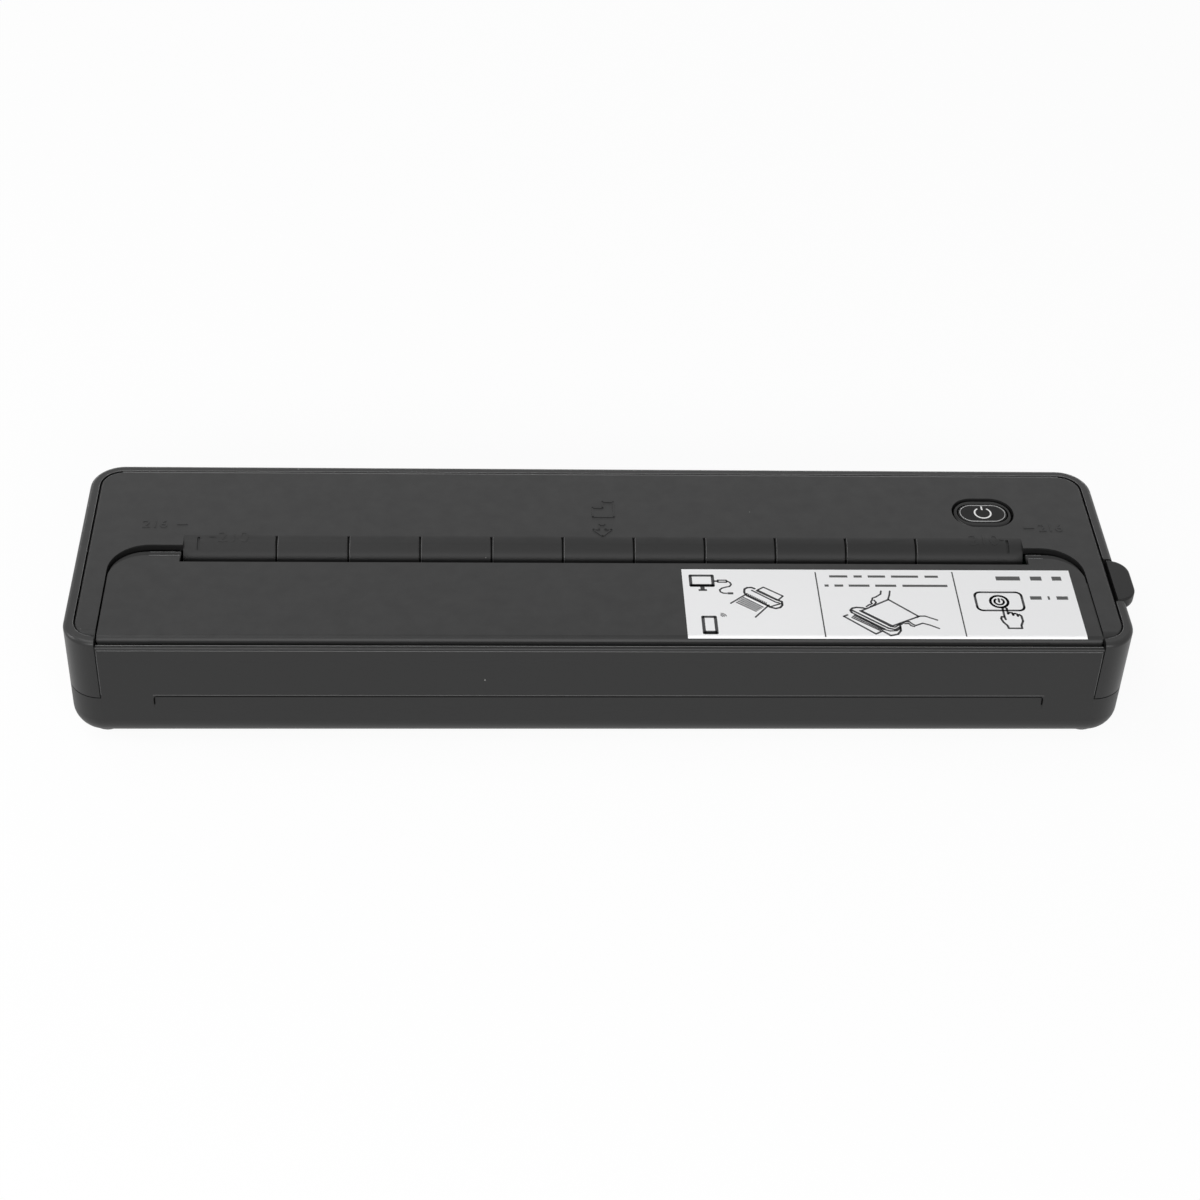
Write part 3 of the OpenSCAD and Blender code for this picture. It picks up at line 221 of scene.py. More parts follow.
def new_group(name, inputs, outputs):
    """An empty shader group with named number inputs and outputs, and its own coordinates."""
    tree = bpy.data.node_groups.new(name, "ShaderNodeTree")
    for label, value in inputs:
        socket = tree.interface.new_socket(label, in_out="INPUT", socket_type="NodeSocketFloat")
        socket.default_value = value
    for label in outputs:
        tree.interface.new_socket(label, in_out="OUTPUT", socket_type="NodeSocketFloat")
    given = tree.nodes.new("NodeGroupInput").outputs
    wanted = tree.nodes.new("NodeGroupOutput").inputs
    where = add_node(tree, "TexCoord").outputs["Object"]
    return tree, given, wanted, where


grain, given, wanted, where = new_group(
    "moulded_grain", [("Grains per mm", 4.0), ("Mottle", 0.1)], ["Height", "Shade"])
per_metre = add_math(grain, "MULTIPLY", given["Grains per mm"], PER_METRE)
fine = add_node(grain, "TexNoise",
                {"Vector": where, "Scale": per_metre, "Detail": 3, "Roughness": 0.6})
broad = add_node(grain, "TexNoise", {"Vector": where, "Scale": 38, "Detail": 4})
swing = add_math(grain, "SUBTRACT", broad.outputs["Fac"], 0.5)
swing = add_math(grain, "MULTIPLY", swing, given["Mottle"])
feed(grain, wanted["Height"], fine.outputs["Fac"])
feed(grain, wanted["Shade"], add_math(grain, "ADD", swing, 1))
print("group:", grain.name, [s.name for s in grain.interface.items_tree])

# %% [markdown]
# Dust settles as single specks a few tenths of a millimetre wide. A Voronoi pattern gives each
# speck its own cell and a random colour, and only the cells whose red is low enough keep their
# speck, so the specks look scattered.

# %% Dust group
dust, given, wanted, where = new_group(
    "dust_specks", [("Cells per mm", 0.16), ("Speck size", 0.035), ("Share", 0.35)], ["Mask"])
per_metre = add_math(dust, "MULTIPLY", given["Cells per mm"], PER_METRE)
cells = add_node(dust, "TexVoronoi", {"Vector": where, "Scale": per_metre}).outputs
inside = add_math(dust, "LESS_THAN", cells["Distance"], given["Speck size"])
chance = add_node(dust, "SeparateColor", {0: cells["Color"]}).outputs["Red"]
kept = add_math(dust, "LESS_THAN", chance, given["Share"])
feed(dust, wanted["Mask"], add_math(dust, "MULTIPLY", inside, kept))
print("group:", dust.name)

# %% [markdown]
# Handling rubs an edge smoother and a little paler. The group measures how far a point lies above
# or below the height of the edge, fades over a short reach, and breaks the line up with noise.
# The height is the piece's own top, so the wear follows its real edge.

# %% Rub group
rub, given, wanted, where = new_group(
    "edge_rub", [("Height of edge", 0.03), ("Reach", 0.0006)], ["Mask"])
height = add_node(rub, "SeparateXYZ", {0: where}).outputs["Z"]
away = add_math(rub, "ABSOLUTE", add_math(rub, "SUBTRACT", height, given["Height of edge"]))
fade = add_math(rub, "DIVIDE", away, given["Reach"])
near = add_math(rub, "SUBTRACT", 1, fade, clamp=True)
patchy = add_node(rub, "TexNoise", {"Vector": where, "Scale": 220, "Detail": 5})
feed(rub, wanted["Mask"], add_math(rub, "MULTIPLY", near, patchy.outputs["Fac"]))
print("group:", rub.name)

# %% [markdown]
# One function builds every moulded plastic from the three groups. The grain drives both the bump
# and a small swing of the roughness, so that a gloss breaks up as it does on a real moulding. The
# numbers that are the same all over a surface are set on the shader itself.

# %% Plastic finish
MICRON = 0.000001
PLASTIC_IOR, COAT_ROUGHNESS, GRAIN_BUMP = 1.46, 0.08, 0.35
DUST_COLOUR = (0.22, 0.22, 0.21, 1)
WORN_GAIN, WORN_LIFT, WORN_SMOOTH = 1.7, 0.01, 0.75


def new_finish(name):
    """A material with its node tree and its shader."""
    finish = bpy.data.materials.new(name)
    finish.use_nodes = True
    tree = finish.node_tree
    return finish, tree, tree.nodes["Principled BSDF"]


def add_bump(tree, shader, height, strength, microns):
    """Feed the shader's normal from a height, with a depth in thousandths of a millimetre."""
    inputs = {"Strength": strength, "Distance": microns * MICRON, "Height": height}
    feed(tree, shader.inputs["Normal"], add_node(tree, "Bump", inputs).outputs["Normal"])


def moulded(name, colour, roughness, grains, microns, mottle, specks, edge=None, reach=0.6,
            spread=0.12, coat=0.0, shine=0.5):
    """A moulded plastic. Grains are per mm, the rubbed edge is a height and its reach is in mm."""
    finish, tree, shader = new_finish(name)
    for label, value in (("IOR", PLASTIC_IOR), ("Specular IOR Level", shine),
                         ("Coat Weight", coat), ("Coat Roughness", COAT_ROUGHNESS)):
        shader.inputs[label].default_value = value
    texture = add_node(tree, "Group", node_tree=grain)
    texture.inputs["Grains per mm"].default_value = grains
    texture.inputs["Mottle"].default_value = mottle
    dusty = add_node(tree, "Group", node_tree=dust)
    dusty.inputs["Share"].default_value = specks
    tone = mix_colours(tree, 1, (*colour, 1), texture.outputs["Shade"], "MULTIPLY")
    tone = mix_colours(tree, dusty.outputs["Mask"], tone, DUST_COLOUR)
    rough = add_node(tree, "MapRange", {"Value": texture.outputs["Height"],
                                        "To Min": roughness - spread / 2,
                                        "To Max": roughness + spread / 2}).outputs["Result"]
    if edge is not None:
        worn = add_node(tree, "Group", node_tree=rub)
        worn.inputs["Height of edge"].default_value = edge
        worn.inputs["Reach"].default_value = reach * MM
        paler = (*[min(1, c * WORN_GAIN + WORN_LIFT) for c in colour], 1)
        tone = mix_colours(tree, worn.outputs["Mask"], tone, paler)
        inputs = {"Factor": worn.outputs["Mask"], "A": rough, "B": roughness * WORN_SMOOTH}
        rough = add_node(tree, "Mix", inputs).outputs["Result"]
    feed(tree, shader.inputs["Base Color"], tone)
    feed(tree, shader.inputs["Roughness"], rough)
    add_bump(tree, shader, texture.outputs["Height"], GRAIN_BUMP, microns)
    return finish


print("built from:", grain.name, dust.name, rub.name)

# %% [markdown]
# The blacks differ by part. The deck, the cover and the front wall are finely matt, the shell's
# rim and side walls are smoother, and the cap and its bezel are the darkest. A paler black, a
# painted highlight, is kept for the hair lines on sharp edges. The parts inside are plain, and the
# gears are natural nylon.

# %% Plastics
def grey(level):
    """A neutral colour."""
    return (level, level, level)


matte_black = moulded("matte_shell", grey(0.008), 0.48, grains=3.0, microns=20, mottle=0.03,
                      specks=0.2, edge=deck_top, reach=0.5, spread=0.06, shine=0.34)
satin_black = moulded("satin_keys", grey(0.007), 0.42, grains=2.0, microns=8, mottle=0.04,
                      specks=0.12, shine=0.26)
cap_black = moulded("cap_black", grey(0.004), 0.42, grains=2.0, microns=6, mottle=0.04,
                    specks=0.1, shine=0.15)
wall_black = moulded("front_wall", grey(0.008), 0.46, grains=3.0, microns=20, mottle=0.03,
                     specks=0.15, spread=0.06, shine=0.37)
gloss_black = moulded("gloss_shell", grey(0.007), 0.38, grains=1.2, microns=4, mottle=0.04,
                      specks=0.12, edge=deck_top, reach=0.4, spread=0.06, shine=0.4)
bezel_black = moulded("bezel_gloss", grey(0.004), 0.24, grains=1.2, microns=3, mottle=0.04,
                      specks=0.05, spread=0.06, coat=0.1, shine=0.25)
# A black far paler than the plastic, which paints a highlight on the fine edges.
painted_highlight_edge = moulded("painted_highlight_edge", grey(0.07), 0.3, grains=1.2, microns=3, mottle=0.04,
                      specks=0.0, spread=0.06)
inner_black = moulded("inner_plastic", grey(0.006), 0.7, grains=2.0, microns=20, mottle=0.05,
                      specks=0.1, shine=0.25)
gear_plastic = moulded("gear_plastic", (0.62, 0.6, 0.54), 0.42, grains=2.5, microns=8,
                       mottle=0.06, specks=0.05)
blacks = (matte_black, satin_black, cap_black, wall_black, gloss_black, bezel_black, inner_black)
print("blacks:", [m.name for m in blacks])

# %% [markdown]
# Rubber is duller and more open than plastic. A coarser grain, a higher roughness and a little
# sheen on the shader itself are enough for the platen and the feet.

# %% Rubber
RUBBER_SHEEN = 0.15
rubber = moulded("rubber", grey(0.018), 0.82, grains=5.0, microns=30, mottle=0.15, specks=0.4)
rubber.node_tree.nodes["Principled BSDF"].inputs["Sheen Weight"].default_value = RUBBER_SHEEN
print("rubber ready:", rubber.name)

# %% [markdown]
# Metal parts keep the marks of how they were made. A noise that is stretched along one axis
# gives drawn or ground lines, and the stretch is set by a Mapping node. Turned pins take the
# lines round their axis, drawn wire and extruded bars along it.

# %% Metal finish
METAL_SHADE, METAL_CLOUD, METAL_BUMP = 0.82, 90, 0.3


def ground_metal(name, colour, roughness, stretch, scale=900, microns=6):
    """A bare metal with fine lines, longer along the axis that is scaled down."""
    finish, tree, shader = new_finish(name)
    shader.inputs["Metallic"].default_value = 1
    where = add_node(tree, "TexCoord").outputs["Object"]
    mapping = add_node(tree, "Mapping", {"Vector": where, "Scale": stretch}).outputs["Vector"]
    lines = add_node(tree, "TexNoise", {"Vector": mapping, "Scale": scale, "Detail": 4})
    cloud = add_node(tree, "TexNoise", {"Vector": where, "Scale": METAL_CLOUD})
    shaded = (*[c * METAL_SHADE for c in colour], 1)
    tone = mix_colours(tree, cloud.outputs["Fac"], shaded, (*colour, 1))
    rough = add_node(tree, "MapRange", {"Value": lines.outputs["Fac"],
                                        "To Min": roughness - 0.08,
                                        "To Max": roughness + 0.1}).outputs["Result"]
    feed(tree, shader.inputs["Base Color"], tone)
    feed(tree, shader.inputs["Roughness"], rough)
    add_bump(tree, shader, lines.outputs["Fac"], METAL_BUMP, microns)
    return finish


steel = ground_metal("steel", (0.62, 0.62, 0.63), 0.3, stretch=(1, 0.15, 0.15))
spring_steel = ground_metal("spring_steel", (0.5, 0.5, 0.52), 0.28, (1, 1, 0.2), scale=1600)
aluminium = ground_metal("aluminium", (0.72, 0.73, 0.75), 0.38, (0.04, 1, 1), scale=1400)
brass = ground_metal("brass", (0.72, 0.52, 0.22), 0.27, stretch=(1, 0.2, 0.2))
motor_case = ground_metal("motor_case", (0.5, 0.5, 0.51), 0.35, stretch=(0.1, 1, 1))
print("metals:", [m.name for m in (steel, spring_steel, aluminium, brass, motor_case)])

# %% [markdown]
# The print head's heating bar is a glazed ceramic strip. The glaze is smooth and slightly warm,
# and a narrow dark line, the row of heating dots, runs along it near its middle.

# %% Ceramic with its row of heating dots
DOTS_COLOUR, DOTS_REACH = (0.08, 0.05, 0.03, 1), 0.4 * MM
ceramic = moulded("ceramic", (0.66, 0.63, 0.55), 0.16, grains=1.0, microns=3, mottle=0.05,
                  specks=0.0, spread=0.06)
head_low, head_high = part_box("print_head_ceramic")
dots_y = (head_low.y + head_high.y) / 2
tree = ceramic.node_tree
glaze = tree.nodes["Principled BSDF"].inputs["Base Color"]
where = add_node(tree, "TexCoord").outputs["Object"]
depth_y = add_node(tree, "SeparateXYZ", {0: where}).outputs["Y"]
off_line = add_math(tree, "ABSOLUTE", add_math(tree, "SUBTRACT", depth_y, dots_y))
within = add_math(tree, "LESS_THAN", off_line, DOTS_REACH)
feed(tree, glaze, mix_colours(tree, within, glaze.links[0].from_socket, DOTS_COLOUR))
print("heating line at y =", round(dots_y, 5))

# %% [markdown]
# Electronics are green solder mask over copper. Narrow lighter bands in a brick pattern stand for
# the tracks under the mask, which show only as a change of tone. The same pattern, drawn out
# along x, gives the amber film of the head's flat cable.

# %% Board, chips, cable and cells
def banded(name, base, band, scale, roughness, width, stretch=(1, 1, 1)):
    """A smooth resin face with narrow bands of another tone."""
    finish, tree, shader = new_finish(name)
    shader.inputs["Roughness"].default_value = roughness
    where = add_node(tree, "TexCoord").outputs["Object"]
    mapping = add_node(tree, "Mapping", {"Vector": where, "Scale": stretch}).outputs["Vector"]
    tracks = add_node(tree, "TexBrick", {
        "Vector": mapping, "Scale": scale, "Mortar Size": width, "Color1": (*base, 1),
        "Color2": (*[c * 0.85 for c in base], 1), "Mortar": (*band, 1)})
    grainy = add_node(tree, "TexNoise", {"Vector": where, "Scale": 2500})
    feed(tree, shader.inputs["Base Color"], tracks.outputs["Color"])
    add_bump(tree, shader, grainy.outputs["Fac"], strength=0.2, microns=10)
    return finish


board_resin = banded("board_resin", (0.01, 0.09, 0.04), (0.03, 0.17, 0.08), scale=120,
                     roughness=0.3, width=0.05)
cable_film = banded("cable_film", (0.5, 0.28, 0.06), (0.35, 0.17, 0.03), scale=400,
                    roughness=0.35, width=0.12, stretch=(1, 0.02, 0.02))
cell_wrap = moulded("cell_wrap", (0.03, 0.12, 0.3), 0.28, grains=0.8, microns=10, mottle=0.1,
                    specks=0.05, spread=0.08)
chip_black = moulded("chip_black", (0.015, 0.015, 0.016), 0.5, grains=6.0, microns=10,
                     mottle=0.05, specks=0.05)
print("electronics:", [m.name for m in (board_resin, cable_film, cell_wrap, chip_black)])

# %% [markdown]
# The sticker is white film, and the signs on it and on the button are print. A fine grain breaks
# the gloss of each, and the tone of each drifts by a trace in patches.

# %% Sticker film and print
sticker = moulded("sticker", (0.88, 0.88, 0.883), 0.38, grains=2.0, microns=4, mottle=0.03,
                  specks=0.0, spread=0.08)
ink = moulded("sticker_ink", (0.02, 0.02, 0.022), 0.45, grains=3.0, microns=2, mottle=0.05,
              specks=0.0)
grey_ink = moulded("sticker_grey", grey(0.06), 0.5, grains=3.0, microns=2, mottle=0.05, specks=0.0)
pad_print = moulded("white_print", (0.85, 0.85, 0.84), 0.45, grains=4.0, microns=2, mottle=0.04,
                    specks=0.0)
print("film and print:", [m.name for m in (sticker, ink, grey_ink, pad_print)])

# %% [markdown]
# Each solid takes its finish by name. The lists say what each piece is made of on the real
# printer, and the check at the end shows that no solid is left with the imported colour.

# %% Give every solid its finish
finishes = {
    matte_black: ["top_deck", "flip_cover"],
    wall_black: ["base_shell"],
    gloss_black: ["upper_shell"],
    bezel_black: ["button_bezel"],
    satin_black: ["release_lever"],
    cap_black: ["power_button"],
    inner_black: ["cover_liner", "chassis_frame", "entry_guide", "exit_guide", "battery_cradle"],
    sticker: ["instruction_label"],
    steel: ["hinge_pins", "platen_shaft", "gear_posts", "motor_screws", "head_pivot_pins",
            "lever_pin", "tact_switch", "board_screws", "usb_socket", "body_screws",
            "chassis_screws"],
    spring_steel: ["head_springs", "lever_spring"],
    rubber: ["platen_sleeve", "rubber_feet"],
    gear_plastic: ["platen_bush_left", "platen_bush_right", "platen_gear", "idler_gear",
                   "compound_gear"],
    brass: ["motor_pinion"],
    motor_case: ["stepper_motor"],
    ceramic: ["print_head_ceramic"],
    aluminium: ["head_heatsink"],
    cable_film: ["head_ribbon"],
    chip_black: ["paper_sensor", "switch_plunger", "board_components"],
    board_resin: ["main_board"],
    cell_wrap: ["battery_cells"],
}
dressed = set()
for finish, names in finishes.items():
    for name in names:
        solid = nodes[name]
        if not solid.material_slots:
            solid.data.materials.append(finish)
        for slot in solid.material_slots:
            slot.material = finish
        dressed.add(name)
print("left undressed:", sorted(set(nodes) - dressed))

# %% [markdown]
# The marks on the deck are plain measuring numbers and two small signs, moulded about a tenth of
# a millimetre proud. Number shapes come from Blender's own font, turned into meshes. A helper
# cuts such a flat shape into narrow strips and bends it over the rolled lip.

# %% Helpers for raised marks
roll_radius = 6.6 * MM
roll_y = 6.3 * MM
roll_z = deck_top - roll_radius
FONT_HEIGHT = 0.73  # height of a digit as a share of the font's size
DRAPE_STEP = 0.4 * MM
WELD = 1e-6


def lip_height(y):
    """Height of the deck and its rolled lip at depth y."""
    if y >= roll_y:
        return deck_top
    return roll_z + sqrt(max(0, roll_radius ** 2 - (roll_y - y) ** 2))


def finish_piece(bm, name, material, body):
    """Make a mesh object from a bmesh, give it a finish and a body to ride on."""
    bmesh.ops.recalc_face_normals(bm, faces=bm.faces)
    mesh = bpy.data.meshes.new(name)
    bm.to_mesh(mesh)
    bm.free()
    mesh.materials.append(material)
    piece = bpy.data.objects.new(name, mesh)
    scene.collection.objects.link(piece)
    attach(piece, body)
    return piece


def mesh_from_curve(curve):
    """A bmesh of a text or wire, which is then removed."""
    holder = bpy.data.objects.new(curve.name, curve)
    scene.collection.objects.link(holder)
    bpy.context.view_layer.update()
    bm = bmesh.new()
    bm.from_mesh(bpy.data.meshes.new_from_object(holder))
    bpy.data.objects.remove(holder)
    bpy.data.curves.remove(curve)
    return bm


def number_mesh(digits, height, thickness):
    """A bmesh of plain digits lying flat, its lower left corner near the origin."""
    curve = bpy.data.curves.new("digits", "FONT")
    curve.body = digits
    curve.size = height / FONT_HEIGHT
    curve.extrude = thickness / 2
    bm = mesh_from_curve(curve)
    bmesh.ops.remove_doubles(bm, verts=bm.verts, dist=WELD)
    return bm


def drape(bm):
    """Cut a flat shape into narrow strips along y and lay it on the deck and its rolled lip."""
    ys = [v.co.y for v in bm.verts]
    y = min(ys) + DRAPE_STEP
    while y < min(max(ys), roll_y + DRAPE_STEP):
        geometry = bm.verts[:] + bm.edges[:] + bm.faces[:]
        bmesh.ops.bisect_plane(bm, geom=geometry, plane_co=(0, y, 0), plane_no=(0, 1, 0))
        y += DRAPE_STEP
    for v in bm.verts:
        v.co.z += lip_height(v.co.y)


print("lip height 3 mm in front of the crest:", round(lip_height(roll_y - 3 * MM), 5))

# %% [markdown]
# The deck carries the paper widths at both ends, each with a short dash towards the mark that it
# belongs to. They are the same black as the deck and show only by the light on their edges.

# %% Paper width numbers
NUMBER_PROUD, DASH_WIDTH = 0.1, 0.55


def width_number(name, digits, corner, size, dash, dash_length):
    """A raised number of a size from its lower left corner, and its dash, placed in mm."""
    bm = number_mesh(digits, size[1] * MM, 2 * NUMBER_PROUD * MM)
    xs = [v.co.x for v in bm.verts]
    ys = [v.co.y for v in bm.verts]
    fit_x = size[0] * MM / (max(xs) - min(xs))
    fit_y = size[1] * MM / (max(ys) - min(ys))
    bmesh.ops.scale(bm, vec=(fit_x, fit_y, 1), verts=bm.verts)
    low = Vector((min(v.co.x for v in bm.verts), min(v.co.y for v in bm.verts), 0))
    bmesh.ops.translate(bm, vec=at(*corner, 0) - low, verts=bm.verts)
    bar = Matrix.Diagonal((dash_length * MM, DASH_WIDTH * MM, 2 * NUMBER_PROUD * MM, 1))
    bmesh.ops.create_cube(bm, size=1, matrix=Matrix.Translation(at(*dash, 0)) @ bar)
    drape(bm)
    piece = finish_piece(bm, name, matte_black, "body")
    print(name, "faces:", len(piece.data.polygons))


size_216, size_210 = (6.4, 2.9), (7.7, 3.7)
width_number("number_216_left", "216", (-118.0, 9.4), size_216, (-107.8, 10.8), 2.7)
width_number("number_216_right", "216", (116.2, 9.4), size_216, (113.7, 10.8), 2.8)
width_number("number_210_left", "210", (-98.1, 4.0), size_210, (-99.7, 5.8), 1.8)
width_number("number_210_right", "210", (97.0, 4.0), size_210, (105.6, 5.8), 1.2)

# %% [markdown]
# Two small signs stand in the middle of the deck: a sheet of paper with one corner cut out, and a
# block arrow before it that points at the inlet. Both are outlines. A helper turns a list of
# points into a raised line: one slim bar for each step and a round post at each turn.

# %% Line helper and signs
POST_SIDES = 10
SIGN_LINE, SIGN_THICK = 0.45 * MM, 0.26 * MM


def add_line(bm, points, width, thickness, z, closed=False, joints=True):
    """Lay a line of bars and round joints through points, which are vectors in metres."""
    stops = points + [points[0]] if closed else points
    for a, b in zip(stops, stops[1:]):
        flat = Vector((b.x - a.x, b.y - a.y, 0))
        along = Matrix.Rotation(Vector((1, 0)).angle_signed(flat.to_2d(), 0) * -1, 4, "Z")
        middle = Vector(((a.x + b.x) / 2, (a.y + b.y) / 2, z))
        size = Matrix.Diagonal((flat.length, width, thickness, 1))
        bmesh.ops.create_cube(bm, size=1, matrix=Matrix.Translation(middle) @ along @ size)
    for p in points if joints else ():
        bmesh.ops.create_cone(bm, cap_ends=True, segments=POST_SIDES, radius1=width / 2,
                              radius2=width / 2, depth=thickness,
                              matrix=Matrix.Translation((p.x, p.y, z)))


bm = bmesh.new()
sheet = [(-1.3, 14.6), (4.3, 14.6), (4.3, 21.0), (1.4, 21.0), (1.4, 18.5), (-1.3, 18.5)]
arrow = [(0.2, 11.2), (1.8, 11.2), (1.8, 9.3), (3.4, 9.3), (1.0, 6.5), (-1.4, 9.3), (0.2, 9.3)]
for outline in (sheet, arrow):
    add_line(bm, [at(x, y, 0) for x, y in outline], SIGN_LINE, SIGN_THICK, 0, closed=True)
drape(bm)
signs = finish_piece(bm, "paper_signs", matte_black, "body")
print("signs:", len(signs.data.polygons), "faces")

# %% [markdown]
# The power button carries a white printed sign, an open ring with a bar in its gap. The ring is a
# flat band: a short upright face spun round the button's middle through less than a full turn.

# %% Power sign
PRINT_THICK = 0.02 * MM
ring_radius, ring_steps, band = 2.15 * MM, 40, 0.42 * MM
bar_middle, bar_length = 2.05 * MM, 1.5 * MM
gap = radians(34)
bm = bmesh.new()
middle = at(102.46, 17.3, cap_top)
opening = Matrix.Rotation(pi / 2 + gap, 4, "Z")
start = opening @ Vector((ring_radius, 0, 0))
bmesh.ops.create_grid(bm, x_segments=1, y_segments=1, size=0.5,
                      matrix=Matrix.Translation(middle + start) @ opening
                      @ Matrix.Rotation(pi / 2, 4, "X")
                      @ Matrix.Diagonal((band, PRINT_THICK, 1, 1)))
bmesh.ops.spin(bm, geom=bm.verts[:] + bm.edges[:] + bm.faces[:], cent=middle, axis=(0, 0, 1),
               angle=2 * pi - 2 * gap, steps=ring_steps)
bar = Matrix.Translation(middle + Vector((0, bar_middle, 0)))
bmesh.ops.create_cube(bm, size=1, matrix=bar @ Matrix.Diagonal((band, bar_length, PRINT_THICK, 1)))
power_sign = finish_piece(bm, "power_sign", pad_print, "button")
print("power sign:", len(power_sign.data.polygons), "faces")

# %% [markdown]
# A thin pale line runs round the top of the cap, a little inside its edge. It stands proud of the
# cap in a pale grey, drawn here as a flattened round wire bent into a slot's outline.

# %% Button inlay
WIRE_RESOLUTION = 3


def slot_outline(centre, length, depth, turns=14):
    """Points of a slot outline with round ends, at one height."""
    radius = depth / 2
    half = length / 2 - radius
    points = []
    for side in (1, -1):
        for i in range(turns + 1):
            a = -pi / 2 + pi * i / turns
            points.append(centre + side * Vector((half + radius * cos(a), radius * sin(a), 0)))
    return points


def wire(name, points, radius, material, body, flatten=1.0, closed=True):
    """A round wire through points, made a mesh. An open one has caps."""
    curve = bpy.data.curves.new(name, "CURVE")
    curve.dimensions = "3D"
    curve.bevel_depth = radius
    curve.bevel_resolution = WIRE_RESOLUTION
    curve.use_fill_caps = not closed
    spline = curve.splines.new("POLY")
    spline.points.add(len(points) - 1)
    for p, q in zip(spline.points, points):
        p.co = (*q, 1)
    spline.use_cyclic_u = closed
    bm = mesh_from_curve(curve)
    z = points[0].z
    for v in bm.verts:
        v.co.z = z + (v.co.z - z) * flatten
    return finish_piece(bm, name, material, body)


pale_line_grey = moulded("pale_line_grey", grey(0.33), 0.35, grains=3.0, microns=3, mottle=0.05,
                      specks=0.0)
cap_middle = at(102.4, 17.2, cap_top - 0.03 * MM)
inlay_length, inlay_depth, inlay_radius = 12.0 * MM, 6.7 * MM, 0.13 * MM
inlay = wire("button_inlay", slot_outline(cap_middle, inlay_length, inlay_depth), inlay_radius,
             pale_line_grey, "button", flatten=0.6)
print("inlay:", len(inlay.data.polygons), "faces")

# %% [markdown]
# Sharp moulded edges are never quite sharp: a radius of a tenth of a millimetre catches the light
# as a hair line. Such lines draw the seam below the cover, the recess and both ends of the front
# wall, the deck's rear edge, and the ledges of the cover's ears. Each one is a fine half-sunk
# wire, so that part of the highlight comes from a real round shape; the rest is painted highlight,
# a black paler than the plastic around it.

# %% Fine edges with a painted highlight
HAIR = 0.09
wall_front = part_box("base_shell")[0].y / MM
wall_top = 31.9 * MM
cover_half = (mid_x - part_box("flip_cover")[0].x) / MM


def edge_line(name, stops, radius=HAIR, body="body"):
    """A fine edge, painted paler as a highlight, through points in metres, its radius in mm."""
    piece = wire(name, stops, radius * MM, painted_highlight_edge, body, closed=False)
    print(name, "faces:", len(piece.data.polygons))


# name, half its length and place in y in mm, height in metres, radius in mm
long_edges = (
    ("seam_edge_upper", 124.7, wall_front + 1.0, wall_top - 0.02 * MM, 0.12),
    ("seam_edge_lower", 124.7, wall_front + 0.42, wall_top - 1.22 * MM, 0.12),
    ("recess_edge", 112, wall_front + 0.09, 16.32 * MM, 0.08),
    ("deck_edge_rear", 125.5, 32.95, deck_top - 0.1 * MM, 0.14),
)
for name, half, y, z, radius in long_edges:
    edge_line(name, [at(x, y, z) for x in (-half, half)], radius)

wall_end = 124.75
wall_stops = ((0.08, 16.4), (0.14, 27.9), (0.42, 30.5))
for side, sx in SIDES:
    edge_line("wall_edge_" + side,
              [at(sx * wall_end, wall_front + y, z * MM) for y, z in wall_stops], 0.07)

ear_end = cover_half - 9.5
for side, near, far in (("left", -107.3, -ear_end), ("right", 111.2, ear_end)):
    for name, y, below in (("ear_edge_", -2.0, 0.03), ("ear_ledge_", 0.33, 0.83)):
        edge_line(name + side, [at(x, y, deck_top - below * MM) for x in (near, far)],
                  body="cover")

# %% [markdown]
# The rim's inner edge follows a rectangle with round corners. It stops at the cover's front and
# at both sides of the notch for the release lever, so it is made of one long and one short line,
# each a fine edge with a painted highlight.

# %% Inner edge of the rim
rim_x, rim_y, rim_corner = 131.0, 33.5, 6.0
notch_rear, notch_front = -1.7, -19.3
rim_z = deck_top - 0.03 * MM


def rim_corner_points(sx, sy, turns=10):
    """Points round one corner of the rim, from its side face to its front or rear face."""
    angles = [pi / 2 * i / turns for i in range(turns + 1)]
    return [at(sx * (rim_x - rim_corner + rim_corner * cos(a)),
               sy * (rim_y - rim_corner + rim_corner * sin(a)), rim_z)
            for a in angles]


edge_line("rim_edge_long", rim_corner_points(-1, -1)[-2::-1] + rim_corner_points(-1, 1)
          + rim_corner_points(1, 1)[::-1] + [at(rim_x, notch_rear, rim_z)])
edge_line("rim_edge_short", [at(rim_x, notch_front, rim_z)] + rim_corner_points(1, -1)[:-1])

# %% [markdown]
# The measuring grooves in the lip read as a dark line with a bright one at its right. A near-black
# wire of painted shade lies in each groove, and a fine edge with a painted highlight runs down
# beside it, both along the roll.

# %% Grooves: painted shade and painted highlight
# A near-black with almost no shine that paints shade into the grooves and the recess ends.
painted_shade_black = moulded("groove_painted_shade", grey(0.002), 0.8, grains=2.0, microns=10, mottle=0.05, specks=0.0,
               shine=0.05)
lip_middle, groove_count, groove_pitch, groove_shift = 1.9, 10, 18.43, 2.15  # mm but the count
groove_start, groove_end = 93, 158  # degrees round the roll, from the rear
shade_sink, shade_radius = 0.33 * MM, 0.16 * MM
edge_shift, edge_sink = 0.42, 0.03 * MM


def along_roll(x, sink, turns=10):
    """Points down the rolled lip at one x, from a groove's start to its end, sunk in its face."""
    reach = roll_radius - sink
    angles = [radians(groove_start + (groove_end - groove_start) * i / turns)
              for i in range(turns + 1)]
    return [Vector((mid_x + x * MM, roll_y + reach * cos(a), roll_z + reach * sin(a)))
            for a in angles]


for i in range(groove_count):
    x = lip_middle + (i - (groove_count - 1) / 2) * groove_pitch - groove_shift
    groove = wire("groove_shade_wire_%d" % i, along_roll(x, shade_sink), shade_radius, painted_shade_black, "body",
                  closed=False)
    wire("groove_edge_%d" % i, along_roll(x + edge_shift, edge_sink), HAIR * MM, painted_highlight_edge,
         "body", closed=False)
print("grooves:", groove_count, "faces each:", len(groove.data.polygons))
